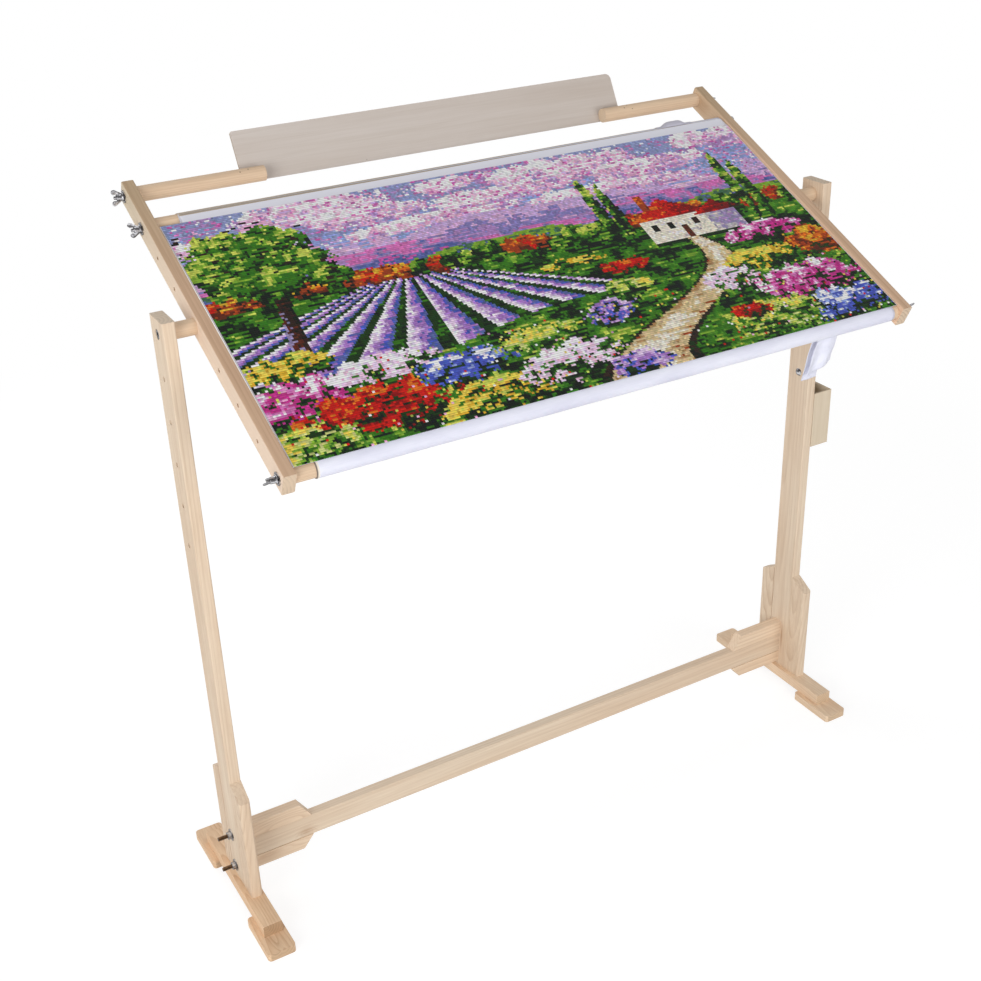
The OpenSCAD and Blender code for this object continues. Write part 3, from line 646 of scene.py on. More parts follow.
def metalMaterial(name):
    kind = metalKinds[name]
    mat, nt, shader = newMaterial(name)
    scratchesAndPaintedReflection = place(reflectionAndScratches, {"Vector": coords(nt)})
    span = times(scratchesAndPaintedReflection["Scratches"], kind["high"] - kind["low"])
    # Painted dark reflection at the rims, where the faces turn away from the view
    rim = put(nt, "ShaderNodeLayerWeight", {"Blend": metalLook["rim"]}).outputs["Facing"]
    colour = blendColour(scratchesAndPaintedReflection["Painted Reflection"], kind["dark"], kind["light"])
    colour = blendColour(ramp(rim, [(0.2, 0.0), (0.62, 0.9)]), colour, kind["dark"])
    feed(shader, {"Metallic": 1.0, "Roughness": plus(span, kind["low"]), "Base Color": colour})
    bumpInto(shader, scratchesAndPaintedReflection["Scratches"], *metalLook["relief"])
    return mat


# Threads on the studs

threads = {
    # inWood is how far the plain part goes on inside the wood
    "stretcher": {"major": 0.006, "pitch": 0.001, "inWood": 0.045},
    "rod": {"major": 0.005, "pitch": 0.0008, "inWood": 0.030},
    "start": 0.001,       # the thread starts this far outside the wood
    "depth": 0.14,        # depth of the groove as a share of the diameter
    "lip": 0.0001,        # the plain part ends this far before the thread
    "taper": 0.5,         # how far the last turn runs down, as a share of the groove
    "around": 20,
    "perPitch": 5,
}


# A stud along X, plain from xPlain to xThread and threaded on to xEnd
def studShape(centre, xPlain, xThread, xEnd, size):
    around, pitch = threads["around"], size["pitch"]
    way = 1 if xEnd > xPlain else -1
    steps = int(abs(xEnd - xThread) / pitch * threads["perPitch"])
    xs = [xPlain, xThread - way * threads["lip"]]
    xs += [xThread + (xEnd - xThread) * k / steps for k in range(steps + 1)]
    verts = []
    for n, x in enumerate(xs):
        for k in range(around):
            a = 2 * math.pi * k / around
            r = size["major"] / 2
            if n > 1:
                phase = (abs(x - xThread) / pitch + k / around) % 1
                groove = 1 - abs(2 * phase - 1)
                taper = max(0.0, 1 - abs(xEnd - x) / pitch) * threads["taper"]
                r *= 1 - threads["depth"] * max(groove, taper)
            verts.append(Vector((x, centre.y + r * math.cos(a), centre.z + r * math.sin(a))))
    return verts, tubeFaces(len(xs), around, flip=way > 0)


def studSet(name, node, centres, wood, size, mat, body):
    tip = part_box(node)[1].x
    inner, start = wood - size["inWood"], wood + threads["start"]
    shapes = [studShape(centre, side * inner, side * start, side * tip, size)
              for side in (-1, 1) for centre in centres]
    finishPiece(joinShapes(name, shapes), mat, body, [node])


def makeStuds(zinc, darkSteel):
    post, bar = (abs(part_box(node)[1].x) for node in ("left_post", "left_side_bar"))
    low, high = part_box("stretcher_studs")
    size = threads["stretcher"]
    centres = [Vector((0, 0, z)) for z in (low.z + size["major"] / 2, high.z - size["major"] / 2)]
    studSet("stretcherStudThreads", "stretcher_studs", centres, post, size, darkSteel, "stand")
    size = threads["rod"]
    for rod, (joint, body) in rods.items():
        studSet(rod + "StudThreads", rod + "_studs", [jointAt[joint]], bar, size, zinc, body)


# Cast wing nuts: a turned hub with a rounded foot and two wings with round edges
wingNuts = {
    # hub: distance from the axis, height over the seat
    "hub": [(0.00256, 0.0), (0.0051, 0.0), (0.0055, 0.0004), (0.0055, 0.0011), (0.0052, 0.0015),
            (0.0045, 0.0018), (0.0042, 0.0026), (0.0039, 0.0076), (0.0036, 0.0083), (0.0032, 0.0085),
            (0.00256, 0.0085)],
    "around": 36,
    # wing: distance from the axis, height, half the width, thickness
    "wing": [(0.0032, 0.004, 0.0025, 0.0026), (0.0045, 0.005, 0.0022, 0.0022),
             (0.0058, 0.0072, 0.0021, 0.0019), (0.0066, 0.0093, 0.0028, 0.0018),
             (0.0071, 0.0111, 0.0034, 0.0018)],
    "capSteps": 7,
    "edge": 14,
    "squareness": 0.6,    # 1 makes the wings oval across, 0 square
    "sharp": 50,          # edges between faces at more degrees than this stay sharp
    # how a nut's wings stand, in degrees from +Y towards +Z; the others follow the CAD nut
    "turned": {"left_front": 134, "left_back": 46, "left_chart": 90, "right_back": 43},
}


def hubShape(at, side):
    profile, around = wingNuts["hub"], wingNuts["around"]
    verts, faces = [], []
    m = len(profile)
    for k in range(around):
        a = 2 * math.pi * k / around
        verts += [at + Vector((side * h, r * math.cos(a), r * math.sin(a))) for r, h in profile]
        after = (k + 1) % around
        for i in range(m):
            j = (i + 1) % m
            faces.append((k * m + i, k * m + j, after * m + j, after * m + i))
    return verts, faces


def wingShape(at, side, outward):
    # outward is the way this wing points, square to the axis
    stations = list(wingNuts["wing"])
    (r0, h0, _, _), (r1, h1, half, thick) = stations[-2:]
    length = math.hypot(r1 - r0, h1 - h0)
    steps = wingNuts["capSteps"]
    for k in range(1, steps + 1):
        q = math.sin(math.pi / 2 * k / (steps + 0.4))
        shift = half * q / length
        stations.append((r1 + (r1 - r0) * shift, h1 + (h1 - h0) * shift, half * math.sqrt(1 - q * q),
                         thick * (1 - q ** 4) ** 0.5))
    flat = Vector((0, -outward.z, outward.y))
    edge, square = wingNuts["edge"], wingNuts["squareness"]
    verts = []
    for n, (r, h, half, thick) in enumerate(stations):
        before, after = stations[max(n - 1, 0)], stations[min(n + 1, len(stations) - 1)]
        dr, dh = after[0] - before[0], after[1] - before[1]
        middle = at + Vector((side * h, 0, 0)) + outward * r
        across = (Vector((-side * dr, 0, 0)) + outward * dh) / math.hypot(dr, dh)
        for k in range(edge):
            c, s = math.cos(2 * math.pi * k / edge), math.sin(2 * math.pi * k / edge)
            verts.append(middle + across * half * math.copysign(abs(c) ** square, c)
                         + flat * thick / 2 * math.copysign(abs(s) ** square, s))
    return verts, tubeFaces(len(stations), edge)


def wingDirection(name, node, at):
    # The wings point the way of the CAD nut's farthest corner, unless the table turns them
    if name in wingNuts["turned"]:
        angle = math.radians(wingNuts["turned"][name])
        return Vector((0, math.cos(angle), math.sin(angle)))
    away = [Vector((0, v.co.y - at.y, v.co.z - at.z)) for v in nodes[node].data.vertices]
    return max(away, key=lambda v: v.length).normalized()


def makeWingNuts(mat):
    for rod, (joint, _) in rods.items():
        for hand, side in (("left", -1), ("right", 1)):
            node = hand + "_" + rod + "_wing_nut"
            low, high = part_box(node)
            at = Vector((high.x if side < 0 else low.x, jointAt[joint].y, jointAt[joint].z))
            outward = wingDirection(hand + "_" + rod, node, at)
            shapes = [hubShape(at, side), wingShape(at, side, outward), wingShape(at, side, -outward)]
            ob = joinShapes(hand + rod.capitalize() + "WingNut", shapes)
            shell = bmesh.new()
            shell.from_mesh(ob.data)
            bmesh.ops.recalc_face_normals(shell, faces=shell.faces)
            shell.to_mesh(ob.data)
            shell.free()
            smooth(ob)
            ob.data.set_sharp_from_angle(angle=math.radians(wingNuts["sharp"]))
            finishPiece(ob, mat, body_of(nodes[node])[0], [node])


# White cloth

cloth = {
    # The front roll and the loose end take a paler copy of the cloth's colour, as painted light
    "colour": srgb(222, 223, 235),
    "paintedLit": srgb(231, 232, 244),    # the front roll and the loose end
    "shade": srgb(198, 198, 220),
    "selvedge": srgb(226, 214, 192),
    "selvedgeDark": srgb(96, 80, 68),
    "paintedShadeBand": srgb(190, 174, 156),      # painted shade: a brownish-grey band behind the back rod's top, for the turn beneath in shade
    "foldShade": srgb(190, 187, 199),
    "bare": srgb(232, 232, 242),      # beside the stitches
    "narrowing": (0.41, 0.004),       # the painted shade band narrows from this far left of the middle, by this share
    "gaps": 0.18,                     # how much shade lies between the threads
    "rough": 0.78,
    "slub": 0.12,                     # how much rougher thick threads are
    "relief": (0.3, 0.00015),
    "sheen": 0.1,
}


# The stitched picture: an evening sky, heather hills, lavender rows, a red-roofed farm and a flower
# meadow. It is painted stitch by stitch on a grid that starts at the back left corner.

stitching = {
    "stitch": 0.0032,     # size of one stitch
    "margin": 0.016,     # bare cloth before the first row at the back
    "selvedge": 0.0012,   # bare cloth at the sides
    "clear": 0.0006,      # gap between the cloth's sides and the side bars
    "paintedShadeBand": 0.004,       # how far the painted shade band along the back rod shows at the left
    "slant": 0.42,        # how much more of the painted shade band shows at the left than in the middle
    "tops": (0.012, 0.0123),   # the cloth's top face over the back and front rolls' axes
    "ridge": 0.0004,     # how far a row of stitches stands over the groove beside it
    "groove": 0.58,       # how dark the painted shade in the groove is
    "drawIn": 0.0012,     # how far the sides draw in between the rods
    "sag": 0.0006,
    "ripple": 0.00016,
    "waves": 95,          # how close the ripples are
    "thick": 0.0008,
    "underRows": 24,      # lines of points on the top to one on the underside
    "sheen": 0.04,
    "shine": 0.12,
    "rough": 0.72,
    "silky": 0.15,        # how much smoother the threads' tops are
    "relief": (0.6, 0.0006),
    "seed": 11,
}
inks = {
    "skyHigh": (122, 132, 190), "skyLow": (206, 150, 206), "cloud": (244, 232, 244),
    "cloudPink": (236, 182, 220), "mauve": (150, 112, 176), "magenta": (188, 74, 146),
    "hillFar": (112, 104, 168), "hillMid": (74, 84, 140), "hillNear": (56, 88, 66),
    "lavender": (142, 98, 182), "lavenderLight": (190, 148, 214), "lavenderPale": (228, 198, 236),
    "pink": (208, 96, 166), "pinkLight": (232, 150, 200), "rose": (176, 44, 112), "white": (250, 248, 252),
    "red": (188, 28, 22), "redDark": (112, 18, 18), "orange": (218, 92, 30), "rust": (134, 54, 26),
    "rustDark": (74, 34, 22), "yellow": (242, 206, 72), "gold": (218, 152, 44), "blue": (62, 74, 170),
    "blueLight": (122, 142, 218), "leafDark": (20, 44, 14), "leaf": (46, 92, 24),
    "leafLight": (104, 146, 46), "lime": (184, 200, 74), "grass": (66, 114, 34),
    "grassPale": (196, 204, 108), "bark": (38, 24, 20), "barkLight": (128, 116, 160),
    "path": (206, 172, 120), "pathDark": (150, 112, 74), "wall": (238, 228, 206),
    "wallShade": (176, 166, 176), "roofShade": (92, 22, 20), "shadow": (9, 18, 12),
}


def paintMeadow(columns, rows, seed):
    draw = np.random.default_rng(seed)
    ink = {k: np.array(v, float) / 255 for k, v in inks.items()}
    col, row = np.meshgrid((np.arange(columns) + 0.5) / columns, (np.arange(rows) + 0.5) / rows)
    art = np.zeros((rows, columns, 3))

    def wave(x, *parts):
        return sum(a * np.sin(f * x * 2 * np.pi + p) for a, f, p in parts)

    def mottle(cell):
        # Smooth random field from -1 to 1 with patches of about that many stitches
        h, w = rows // cell + 3, columns // cell + 3
        coarse = draw.uniform(-1, 1, (h, w))
        y, x = np.arange(rows) / cell, np.arange(columns) / cell
        j, i = y.astype(int), x.astype(int)
        fy, fx = (y - j)[:, None], (x - i)[None, :]
        top = coarse[j][:, i] * (1 - fx) + coarse[j][:, i + 1] * fx
        low = coarse[j + 1][:, i] * (1 - fx) + coarse[j + 1][:, i + 1] * fx
        return top * (1 - fy) + low * fy

    def runs(fresh):
        # Random values that hold over short runs along a row
        starts = np.where(draw.random((rows, columns)) < fresh, np.arange(columns)[None, :], 0)
        values = draw.normal(0, 1, (rows, columns))
        return values[np.arange(rows)[:, None], np.maximum.accumulate(starts, axis=1)]

    def dapple(inside, names, shade, spread=0.32, fresh=0.5):
        # Fills part of the picture, from the first of these inks at -1 to the last at 1
        level = np.clip((shade + spread * runs(fresh) + 1) / 2, 0, 0.999)
        table = np.array([ink[n] for n in names.split()])
        art[inside] = table[(level * len(table)).astype(int)][inside]

    def dashes(inside, names, share, length=2):
        # Scatters short runs of stitches over part of the picture
        names = names.split()
        ys, xs = np.nonzero(inside)
        if not len(ys):
            return
        for k in draw.integers(0, len(ys), int(len(ys) * share)):
            run = draw.integers(1, length + 1)
            part = inside[ys[k], xs[k]:xs[k] + run]
            art[ys[k], xs[k]:xs[k] + run][part] = ink[names[draw.integers(0, len(names))]]

    def clump(cx, cy, rx, ry, names, ragged=0.45, cell=4):
        # A rounded mass of leaves or blossom, light at its upper left and dark below
        reach = ((col - cx) / rx) ** 2 + ((row - cy) / ry) ** 2
        inside = reach + ragged * mottle(cell) + draw.normal(0, 0.12, (rows, columns)) < 1
        shade = 0.55 * (row - cy) / ry + 0.22 * (col - cx) / rx + 0.75 * mottle(3)
        dapple(inside, names, shade)

    # Evening sky: lilac at the top, pink low down, with heaped clouds
    dapple(np.ones((rows, columns), bool), "skyHigh mauve skyHigh blueLight lavenderLight skyLow cloudPink",
           np.clip(row / 0.17, 0, 2) - 1 + 0.5 * mottle(9), 0.22, 0.3)
    clouds = "white white cloud cloudPink pinkLight lavenderLight mauve"
    for cx, cy, rx, ry in ((0.2, 0.05, 0.13, 0.05), (0.29, 0.11, 0.12, 0.045), (0.45, 0.04, 0.09, 0.04),
                           (0.52, 0.13, 0.12, 0.045), (0.66, 0.07, 0.13, 0.06), (0.8, 0.13, 0.1, 0.045),
                           (0.96, 0.05, 0.09, 0.055), (0.02, 0.13, 0.08, 0.04), (0.38, 0.19, 0.14, 0.03),
                           (0.72, 0.2, 0.15, 0.03)):
        clump(cx, cy, rx, ry, clouds, 0.8, 7)
    dashes(row < 0.24, "magenta pink pinkLight white", 0.1, 2)

    # Hills, far to near
    for base, names, parts in (
        (0.235, "lavenderLight skyLow hillFar hillFar mauve", ((0.03, 1.3, 0.4), (0.012, 3.7, 1.0))),
        (0.285, "pink mauve hillFar hillMid magenta hillMid", ((0.026, 1.7, 2.2), (0.01, 5.1, 0.3))),
        (0.335, "leafLight hillNear hillNear hillMid leafDark shadow",
         ((0.018, 2.3, 4.0), (0.008, 6.3, 2.0))),
    ):
        edge = base + wave(col, *parts)
        dapple(row > edge, names, (row - edge) / 0.05 - 1 + 0.8 * mottle(5), 0.3, 0.3)

    # Meadow ground
    ground = row > 0.395 + wave(col, (0.012, 1.1, 0.5), (0.006, 4.0, 1.5))
    dapple(ground, "lime leafLight grass leaf leaf leafDark shadow", 0.25 + 0.9 * mottle(5), 0.38, 0.34)

    # Lavender rows that run to a point on the horizon
    fan = (col - 0.3) / np.maximum(row - 0.36, 0.004)
    field = (row > 0.405) & (row < 0.70 + 0.05 * np.sin(col * 9)) & (col < 0.6)
    field &= (fan > -1.55) & (fan < 1.15)
    stripe = (fan * 4.6) % 1
    bloom = field & (stripe < 0.66)
    dapple(field, "leaf leafDark leafDark shadow", 0.5 * mottle(4))
    dapple(bloom, "white lavenderPale lavenderLight lavender lavender blue hillMid",
           stripe * 3.0 - 1.0 + 0.3 * mottle(3), 0.3)

    # Woods at the foot of the hills, in autumn colours and green
    autumn = ("gold orange rust rust rustDark shadow", "lime leafLight leaf leafDark shadow",
              "orange red rust rustDark rustDark", "leafLight leaf leafDark shadow shadow")
    for cx in np.arange(0.01, 1.0, 0.026):
        clump(cx, 0.382 + draw.normal(0, 0.008), 0.02, 0.036, autumn[draw.integers(0, 4)], 0.3, 3)

    # Farmhouse with a red roof, its barn and chimney
    def slab(x0, x1, y0, y1, names, tilt=0.0):
        inside = (col > x0) & (col < x1) & (row > y0) & (row < y1)
        dapple(inside, names, tilt * (2 * (col - x0) / (x1 - x0) - 1) + 0.4 * mottle(3), 0.3)

    slab(0.7, 0.82, 0.385, 0.505, "white wall wall wallShade")
    slab(0.82, 0.88, 0.405, 0.505, "wall wallShade barkLight mauve")
    roof = (row > 0.300 + 0.10 * np.abs(col - 0.76) / 0.08) & (row < 0.395) & (np.abs(col - 0.76) < 0.075)
    dapple(roof, "orange red red redDark roofShade", (col - 0.76) / 0.075)
    wing = (row > 0.350 + 0.06 * np.abs(col - 0.85) / 0.05) & (row < 0.412) & (col > 0.8) & (col < 0.895)
    dapple(wing, "red redDark roofShade bark", (col - 0.85) / 0.05)
    slab(0.722, 0.735, 0.275, 0.345, "orange rust rustDark")
    for x in (0.716, 0.742, 0.79):
        slab(x, x + 0.011, 0.415, 0.45, "bark shadow")
    slab(0.764, 0.778, 0.44, 0.505, "rust rustDark bark")
    slab(0.7, 0.88, 0.505, 0.516, "leafDark shadow")

    # Poplars beside the house and a broad oak at the left
    greens = "lime leafLight leaf leafDark shadow shadow"
    for cx, top, foot in ((0.652, 0.13, 0.48), (0.676, 0.18, 0.49), (0.914, 0.11, 0.48), (0.938, 0.17, 0.5)):
        clump(cx, (top + foot) / 2, 0.011, (foot - top) / 2, greens, 0.3, 3)
    lean = 0.095 + 0.012 * np.sin(6 * row)
    trunk = (row > 0.36) & (row < 0.67) & (np.abs(col - lean) < 0.009 + 0.02 * (row - 0.36))
    dapple(trunk, "barkLight rustDark bark bark shadow", (col - 0.095) / 0.014)
    for cx, cy, rx, ry in ((0.095, 0.18, 0.085, 0.11), (0.04, 0.26, 0.05, 0.08), (0.152, 0.27, 0.055, 0.075),
                           (0.1, 0.33, 0.075, 0.055), (0.19, 0.34, 0.03, 0.04)):
        clump(cx, cy, rx, ry, "lime leafLight leaf leaf leafDark shadow", 0.6, 5)
    dashes((row > 0.05) & (row < 0.4) & (col < 0.21), "bark shadow", 0.03, 3)

    # Path from the front edge to the farmhouse door
    t = np.clip((row - 0.5) / 0.5, 0, 1)
    middle = 0.768 - 0.17 * t + 0.060 * np.sin(t * 5.2)
    off = np.abs(col - middle) / (0.010 + 0.060 * t)
    dapple((row > 0.505) & (off < 1.25), "leafLight leafDark bark shadow", 0.5 * mottle(3))
    dapple((row > 0.505) & (off < 1), "wall path path pathDark rust",
           off * 0.9 - 0.7 + 0.6 * mottle(4), 0.3, 0.2)

    # Flowers in drifts, small far off and large at the front
    yellows = "lime yellow yellow gold leaf leafDark shadow"
    pinks = "white pinkLight pink rose rose leafDark shadow"
    whites = "white white lavenderPale cloudPink leaf leafDark shadow"
    reds = "orange red red redDark leafDark shadow"
    blues = "white blueLight blue blue leafDark shadow"
    limes = "yellow lime grassPale leafLight leaf leafDark shadow"
    rusts = "gold orange rust rustDark leafDark"
    purples = "lavenderPale lavenderLight lavender blue leafDark shadow"
    drifts = [
        (0.55, 0.5, 0.05, 0.022, yellows), (0.63, 0.56, 0.045, 0.028, reds),
        (0.9, 0.54, 0.085, 0.042, pinks), (0.965, 0.64, 0.05, 0.075, rusts),
        (0.86, 0.66, 0.07, 0.052, yellows), (0.78, 0.72, 0.06, 0.052, whites),
        (0.6, 0.66, 0.04, 0.04, limes), (0.55, 0.74, 0.05, 0.05, purples), (0.9, 0.8, 0.095, 0.078, pinks),
        (0.93, 0.93, 0.08, 0.07, blues), (0.8, 0.92, 0.075, 0.075, limes), (0.76, 0.87, 0.035, 0.035, reds),
        (0.06, 0.66, 0.07, 0.052, yellows), (0.05, 0.78, 0.07, 0.078, pinks),
        (0.17, 0.74, 0.085, 0.052, whites), (0.15, 0.88, 0.11, 0.085, reds),
        (0.04, 0.95, 0.06, 0.065, limes), (0.29, 0.8, 0.075, 0.06, blues),
        (0.31, 0.94, 0.095, 0.07, yellows), (0.42, 0.77, 0.07, 0.052, limes),
        (0.44, 0.89, 0.08, 0.075, whites), (0.53, 0.96, 0.05, 0.05, purples),
    ]
    for cx, cy, rx, ry, names in drifts:
        clump(cx, cy, rx, ry, names, 0.6, 4)
    dashes(ground & (row > 0.7) & (off > 1.2), "yellow white red pinkLight lime", 0.03, 1)

    # Lighter middle tones, and threads that differ a little from stitch to stitch
    art += 0.10 * np.sin(np.pi * art) ** 2
    art *= 1 + draw.normal(0, 0.07, (rows, columns, 1))
    art += draw.normal(0, 0.012, (rows, columns, 3))
    return np.clip(art, 0.015, 0.98)


def stitchedMaterial(s):
    mat, nt, shader = newMaterial("stitchedCloth")
    thread = put(nt, "ShaderNodeVertexColor", layer_name="thread").outputs[0]
    stitches = place(crossStitch, {"Vector": put(nt, "ShaderNodeUVMap", uv_map="stitches").outputs[0]})
    shade = minus(1.0, times(stitches["Gap"], s["groove"]))
    rough = minus(s["rough"], times(stitches["Strand"], s["silky"]))
    feed(shader, {"Base Color": blendColour(1.0, thread, shade, "MULTIPLY"), "Roughness": rough,
                  "Sheen Weight": s["sheen"], "Specular IOR Level": s["shine"]})
    bumpInto(shader, stitches["Height"], *s["relief"])
    return mat


def makeStitchedCloth(s):
    # The cloth runs from the back roll's top to the front roll's; beside the rolls it starts at the first row
    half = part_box("right_side_bar")[0].x - s["clear"]
    rollLow, rollHigh = (p.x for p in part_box("back_cloth_roll"))
    rollHigh += rolls["reach"]
    span = frontU - backU
    columns = int(round(2 * (half - s["selvedge"]) / s["stitch"]))
    rows = int(round((span - s["margin"]) / s["stitch"]))
    painted = linear(paintMeadow(columns, rows, s["seed"]))
    xs = [-half, *np.linspace(s["selvedge"] - half, half - s["selvedge"], columns + 1), half]
    us = [backU, backU + s["paintedShadeBand"], *np.linspace(backU + s["margin"], frontU, 2 * rows + 1)]
    nx, nu = len(xs), len(us)
    first = next(i for i, x in enumerate(xs) if x > rollLow)
    last = max(i for i, x in enumerate(xs) if x < rollHigh)
    backTop, frontTop = s["tops"]
    verts = []
    for j, u in enumerate(us):
        t = (u - backU) / span
        belly = math.sin(math.pi * t)
        pull = 1 - s["drawIn"] / half * belly
        ridge = s["ridge"] if j > 2 and j % 2 else 0.0
        for x in xs:
            if j == 1:
                u = backU + s["paintedShadeBand"] * (0.5 - s["slant"] * x / half)
            sag = -s["sag"] * belly * (1 - (x / half) ** 2)
            ripple = s["ripple"] * math.sin(x * s["waves"] + 3 * t) * belly
            rise = ridge if abs(x) < half else 0.0
            verts.append(onFrame(x * pull, u, backTop + (frontTop - backTop) * t + sag + ripple + rise))
    # Underside: the same columns with few rows, joined to the top's edges all round
    every = [0, *range(2, nu, s["underRows"])]
    if every[-1] != nu - 1:
        every.append(nu - 1)
    base = len(verts)
    for j in every:
        verts += [verts[j * nx + i] - squareUp * s["thick"] for i in range(nx)]
    faces, shades = [], []
    for j in range(nu - 1):
        for i in range(first, last) if j < 2 else range(nx - 1):
            a = j * nx + i
            faces.append((a, a + nx, a + nx + 1, a + 1))
            shades.append(((j - 2) // 2, i - 1) if j >= 2 and 1 <= i < nx - 2 else None)
    for k in range(len(every) - 1):
        for i in range(first, last) if k == 0 else range(nx - 1):
            a = base + k * nx + i
            faces.append((a, a + 1, a + nx + 1, a + nx))
    for i in range(nx - 1):
        inRoll = first <= i < last
        a, b = (i, base + i) if inRoll else (2 * nx + i, base + nx + i)
        faces.append((a, a + 1, b + 1, b))
        a, b = (nu - 1) * nx + i, base + (len(every) - 1) * nx + i
        faces.append((a + 1, a, b, b + 1))
    for k, (j0, j1) in enumerate(zip(every, every[1:])):
        low = base + k * nx
        i0, i1 = (first, last) if k == 0 else (0, nx - 1)
        lines = range(j0, j1 + 1)
        faces.append((low + i0, low + nx + i0, *(j * nx + i0 for j in reversed(lines))))
        faces.append((low + nx + i1, low + i1, *(j * nx + i1 for j in lines)))
    used = sorted({i for f in faces for i in f})
    fresh = {old: new for new, old in enumerate(used)}
    faces = [tuple(fresh[i] for i in f) for f in faces]
    ob = joinShapes("stitchedCloth", [([verts[i] for i in used], faces)])
    mesh = ob.data

    colours = np.ones((len(mesh.loops), 4), np.float32)
    colours[:, :3] = cloth["bare"][:3]
    # The first row beside the roll takes the colour of the painted shade band
    colours[:4 * (last - first), :3] = cloth["paintedShadeBand"][:3]
    for n, shade in enumerate(shades):
        if shade:
            colours[4 * n:4 * n + 4, :3] = painted[shade]
    mesh.color_attributes.new("thread", "FLOAT_COLOR", "CORNER").data.foreach_set("color", colours.ravel())
    vertexOf = np.zeros(len(mesh.loops), int)
    mesh.loops.foreach_get("vertex_index", vertexOf)
    old = np.array(used)[vertexOf]
    top = old < base
    uv = np.zeros((len(mesh.loops), 2), np.float32)
    uv[top, 0] = ((np.array(xs) - xs[1]) / s["stitch"])[old[top] % nx]
    uv[top, 1] = ((np.array(us) - us[2]) / s["stitch"])[old[top] // nx]
    mesh.uv_layers.new(name="stitches").data.foreach_set("uv", uv.ravel())
    smooth(ob)
    finishPiece(ob, stitchedMaterial(s), "frame", ["stretched_cloth"])
    print("stitched cloth:", columns, "by", rows, "stitches")


# White cloth on the rods and the loose end

def clothMaterial(name, base, edgeX=None, bandAxis=None):
    mat, nt, shader = newMaterial(name)
    here = coords(nt)
    weave = place(clothWeave, {"Vector": here})
    slow = noise(stretch(here, (0.25, 1, 1)), 45, 3, 0.55)
    colour = blendColour(ramp(slow, [(0.35, 0.0), (0.75, 0.55)]), base, cloth["shade"])
    colour = blendColour(times(weave["Gap"], cloth["gaps"]), colour, cloth["shade"])
    x = xyz(here)[0]
    if edgeX is not None:
        fromEdge = times(minus(x, edgeX), 100.0)
        band = ramp(fromEdge, [(0.34, 0.8), (0.4, 0.0)])
        hem = ramp(fromEdge, [(0.13, 0.85), (0.18, 0.0)])
        colour = blendColour(band, colour, cloth["selvedge"])
        colour = blendColour(hem, colour, cloth["selvedgeDark"])
    if bandAxis is not None:
        # Painted shade: a brownish-grey band behind the rod's top, for the turn beneath in shade, that grows
        # narrower to the right
        off = stretch(here, bandAxis, "SUBTRACT")
        start, share = cloth["narrowing"]
        narrower = times(plus(x, start), share)
        behind = minus(measure("DOT_PRODUCT", off, -towardsFront), narrower)
        over = measure("DOT_PRODUCT", off, squareUp)
        paintedShadeBand = times(ramp(times(behind, 100.0), [(0.1, 0.0), (0.14, 1.0)]),
                     ramp(times(over, 100.0), [(0.05, 0.0), (0.1, 1.0)]))
        colour = blendColour(paintedShadeBand, colour, cloth["paintedShadeBand"])
    rough = plus(times(weave["Slub"], cloth["slub"]), cloth["rough"])
    feed(shader, {"Base Color": colour, "Roughness": rough, "Sheen Weight": cloth["sheen"]})
    bumpInto(shader, weave["Height"], *cloth["relief"])
    return mat


def makeClothSheet(name, verts, columns, rows, thick, mat, body, replaced=()):
    # A grid of points as a sheet with a thickness; gives its area too
    ob = joinShapes(name, [(verts, gridFaces(columns, rows))])
    smooth(ob)
    solid = ob.modifiers.new("cloth", "SOLIDIFY")
    solid.thickness = thick
    solid.offset = 0
    finishPiece(ob, mat, body, replaced)
    return ob, sum(p.area for p in ob.data.polygons)


rolls = {
    "rod": 0.01,        # radius of the rods
    "turns": 3,           # turns of cloth on each rod
    "loose": 1.4,         # how many of the outer turns ripple
    "start": {"front": 0.6, "back": 2.2},   # where the inner edge lies round the rod, in radians
    "reach": 0.0078,      # how far the back roll's outer turns run on to the right side bar
    "fill": 0.8,         # thickness of the cloth as a share of the room for one turn
    "gap": 0.0001,
    "ripple": 0.00012,
    "waves": (61, 2.4),   # how close the ripples are along the rod and round it
    "ragged": 0.0012,     # how far the turns' edges slip along the rod
    "around": 56,
    "along": 150,
}


# Cloth wound round a rod as one spiral sheet, with soft ripples along it
def makeRoll(s, rod, reach, mat):
    joint, body = rods[rod]
    node, axis = rod + "_cloth_roll", jointAt[joint]
    low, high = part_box(node)
    inner, outer = s["rod"], (high.z - low.z) / 2
    turns, along = s["turns"], s["along"]
    thick = (outer - inner) / turns * s["fill"]
    r0, r1 = inner + thick / 2 + s["gap"], outer - thick / 2 - s["gap"]
    total = s["around"] * turns
    long = high.x + reach - low.x
    alongWave, roundWave = s["waves"]
    verts = []
    for n in range(total + 1):
        t = n / total
        a = s["start"][rod] + 2 * math.pi * turns * t
        looseness = max(0.0, t * turns - (turns - s["loose"])) / s["loose"]
        for k in range(along + 1):
            x = low.x + long * k / along
            r = r0 + (r1 - r0) * t + looseness * s["ripple"] * math.sin(x * alongWave + roundWave * a)
            slip = s["ragged"] * t * abs(math.sin(9 * t + k)) * ((k == 0) - (k == along))
            verts.append(Vector((x + slip, axis.y + r * math.cos(a), axis.z + r * math.sin(a))))
    ob = makeClothSheet(rod + "ClothRoll", verts, along, total, thick, mat, body, [node])[0]


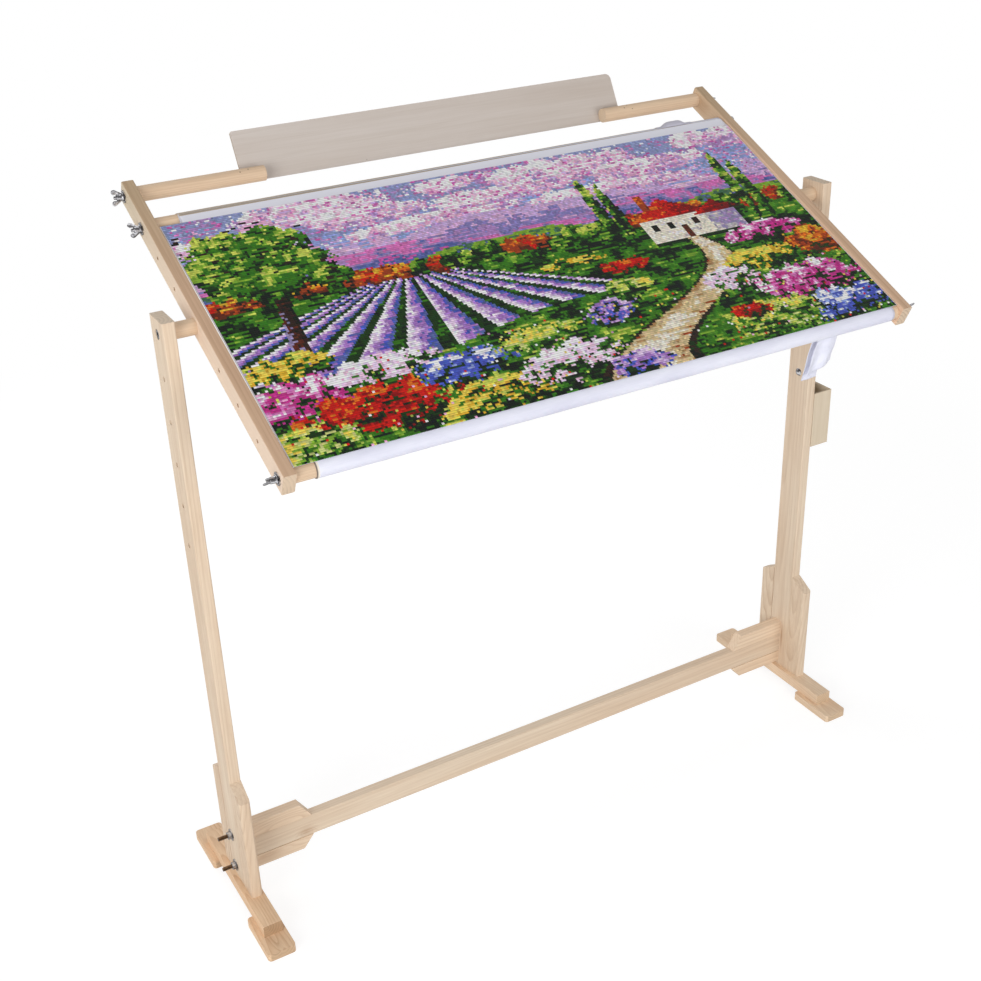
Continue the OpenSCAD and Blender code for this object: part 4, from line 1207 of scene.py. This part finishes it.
# Where the cloth stands off the back rod in a low hump: it goes on from the stretched cloth over the roll
standingFold = {
    "middle": 0.357,
    "left": 0.019,        # half its length, each side of the middle
    "right": 0.015,
    "ends": (1.7, 1.9),   # how far the sheet runs on past the hump, in those halves
    "rise": 0.007,
    "steep": 5,           # how steeply its ends rise
    "behind": 0.4,        # how far down behind the rod it goes on
    "gap": 0.0002,        # clearance over the roll
    "thick": 0.0005,
    "columns": 60,
    "rows": 28,
    "spread": (0.05, 2.05),   # angles behind the roll's top, in radians
}


def makeStandingFold(s, mat):
    low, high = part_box("back_cloth_roll")
    axis = jointAt["back_roller_turn"]
    base = (high.z - low.z) / 2 + s["gap"] + s["thick"] / 2
    x0, x1 = s["middle"] - s["ends"][0] * s["left"], s["middle"] + s["ends"][1] * s["right"]
    near, far = s["spread"]
    verts = []
    for j in range(s["rows"] + 1):
        a = near + (far - near) * j / s["rows"]
        back, up = math.sin(a), math.cos(a)
        for i in range(s["columns"] + 1):
            x = x0 + (x1 - x0) * i / s["columns"]
            off = (x - s["middle"]) / (s["left"] if x < s["middle"] else s["right"])
            r = base + s["rise"] * math.exp(-abs(off) ** s["steep"]) * back * max(0.0, up + s["behind"])
            verts.append(axis + Vector((x, 0, 0)) - towardsFront * r * back + squareUp * r * up)
    ob, area = makeClothSheet("standingFold", verts, s["columns"], s["rows"], s["thick"], mat, "frame")


# The loose end of the cloth: a main layer with soft folds, whose hem rises to the right, and a longer
# narrow layer behind its left edge. Its sides run from top to foot, measured from the CAD piece's right side.
looseEnd = {
    "columns": 40,
    "rows": 44,
    "thick": 0.0006,
    "front": 0.0008,      # how far it hangs behind the CAD piece's front
    "curl": 0.0006,
    "curls": (9, 14),     # how close the curls are across and down
    "bow": 0.55,          # how its left side bows; 1 is straight
    "hemBow": 1.4,
    "swell": 0.8,         # how soon the folds deepen on the way down; 1 is evenly
    "looseEnd": {"left": (-0.018, -0.0475), "right": (0.008, -0.005), "length": 0.88, "rise": 0.014,
                 "fold": 0.0046, "waves": 1.4, "turn": 0.2, "back": 0.0002},
    "looseEndUnder": {"left": (-0.023, -0.05), "right": (-0.008, -0.026), "length": 0.985, "rise": 0.002,
                      "fold": 0.0016, "waves": 0.9, "turn": 2.0, "back": 0.0062},
}


def makeLooseEnd(s, name, mat):
    layer, columns, rows = s[name], s["columns"], s["rows"]
    low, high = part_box("loose_end")
    long = (high.z - low.z) * layer["length"]
    (left0, left1), (right0, right1) = layer["left"], layer["right"]
    verts = []
    for j in range(rows + 1):
        down = j / rows
        left = left0 + (left1 - left0) * down ** s["bow"]
        right = right0 + (right1 - right0) * down
        for i in range(columns + 1):
            across = i / columns
            hem = long - layer["rise"] * across ** s["hemBow"]
            wave = 1 - math.cos(2 * math.pi * layer["waves"] * across + layer["turn"])
            swell = layer["fold"] * down ** s["swell"] * wave / 2
            curl = s["curl"] * math.sin(s["curls"][0] * across + s["curls"][1] * down) * down
            y = low.y + s["front"] + layer["back"] + swell + curl
            verts.append(Vector((high.x + left + (right - left) * across, y, high.z - hem * down)))
    ob, area = makeClothSheet(name, verts, columns, rows, s["thick"], mat, "frame", ["loose_end"])


print("materials and pieces")
makeCamera(camera)
makeStudio(studio)
number = 0
for kindName, along, pieces in woodPieces:
    for piece, pith in pieces.items():
        number += 1
        woodMaterial(piece, kindName, along, pith, number)
zinc = metalMaterial("zinc")
for piece in zincPieces:
    coat(piece, zinc)
makeStuds(zinc, metalMaterial("darkSteel"))
makeWingNuts(zinc)
print("studs threaded and wing nuts cast")
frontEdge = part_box("front_cloth_roll")[0].x
makeRoll(rolls, "front", 0.0, clothMaterial("whiteClothFront", cloth["paintedLit"], edgeX=frontEdge))
backWhite = clothMaterial("whiteClothBack", cloth["colour"], bandAxis=jointAt["back_roller_turn"])
makeRoll(rolls, "back", rolls["reach"], backWhite)
makeStandingFold(standingFold, clothMaterial("whiteClothFold", cloth["foldShade"]))
endWhite = clothMaterial("whiteClothEnd", cloth["paintedLit"])
for name in ("looseEnd", "looseEndUnder"):
    makeLooseEnd(looseEnd, name, endWhite)
print("cloth wound and hung")
makeStitchedCloth(stitching)
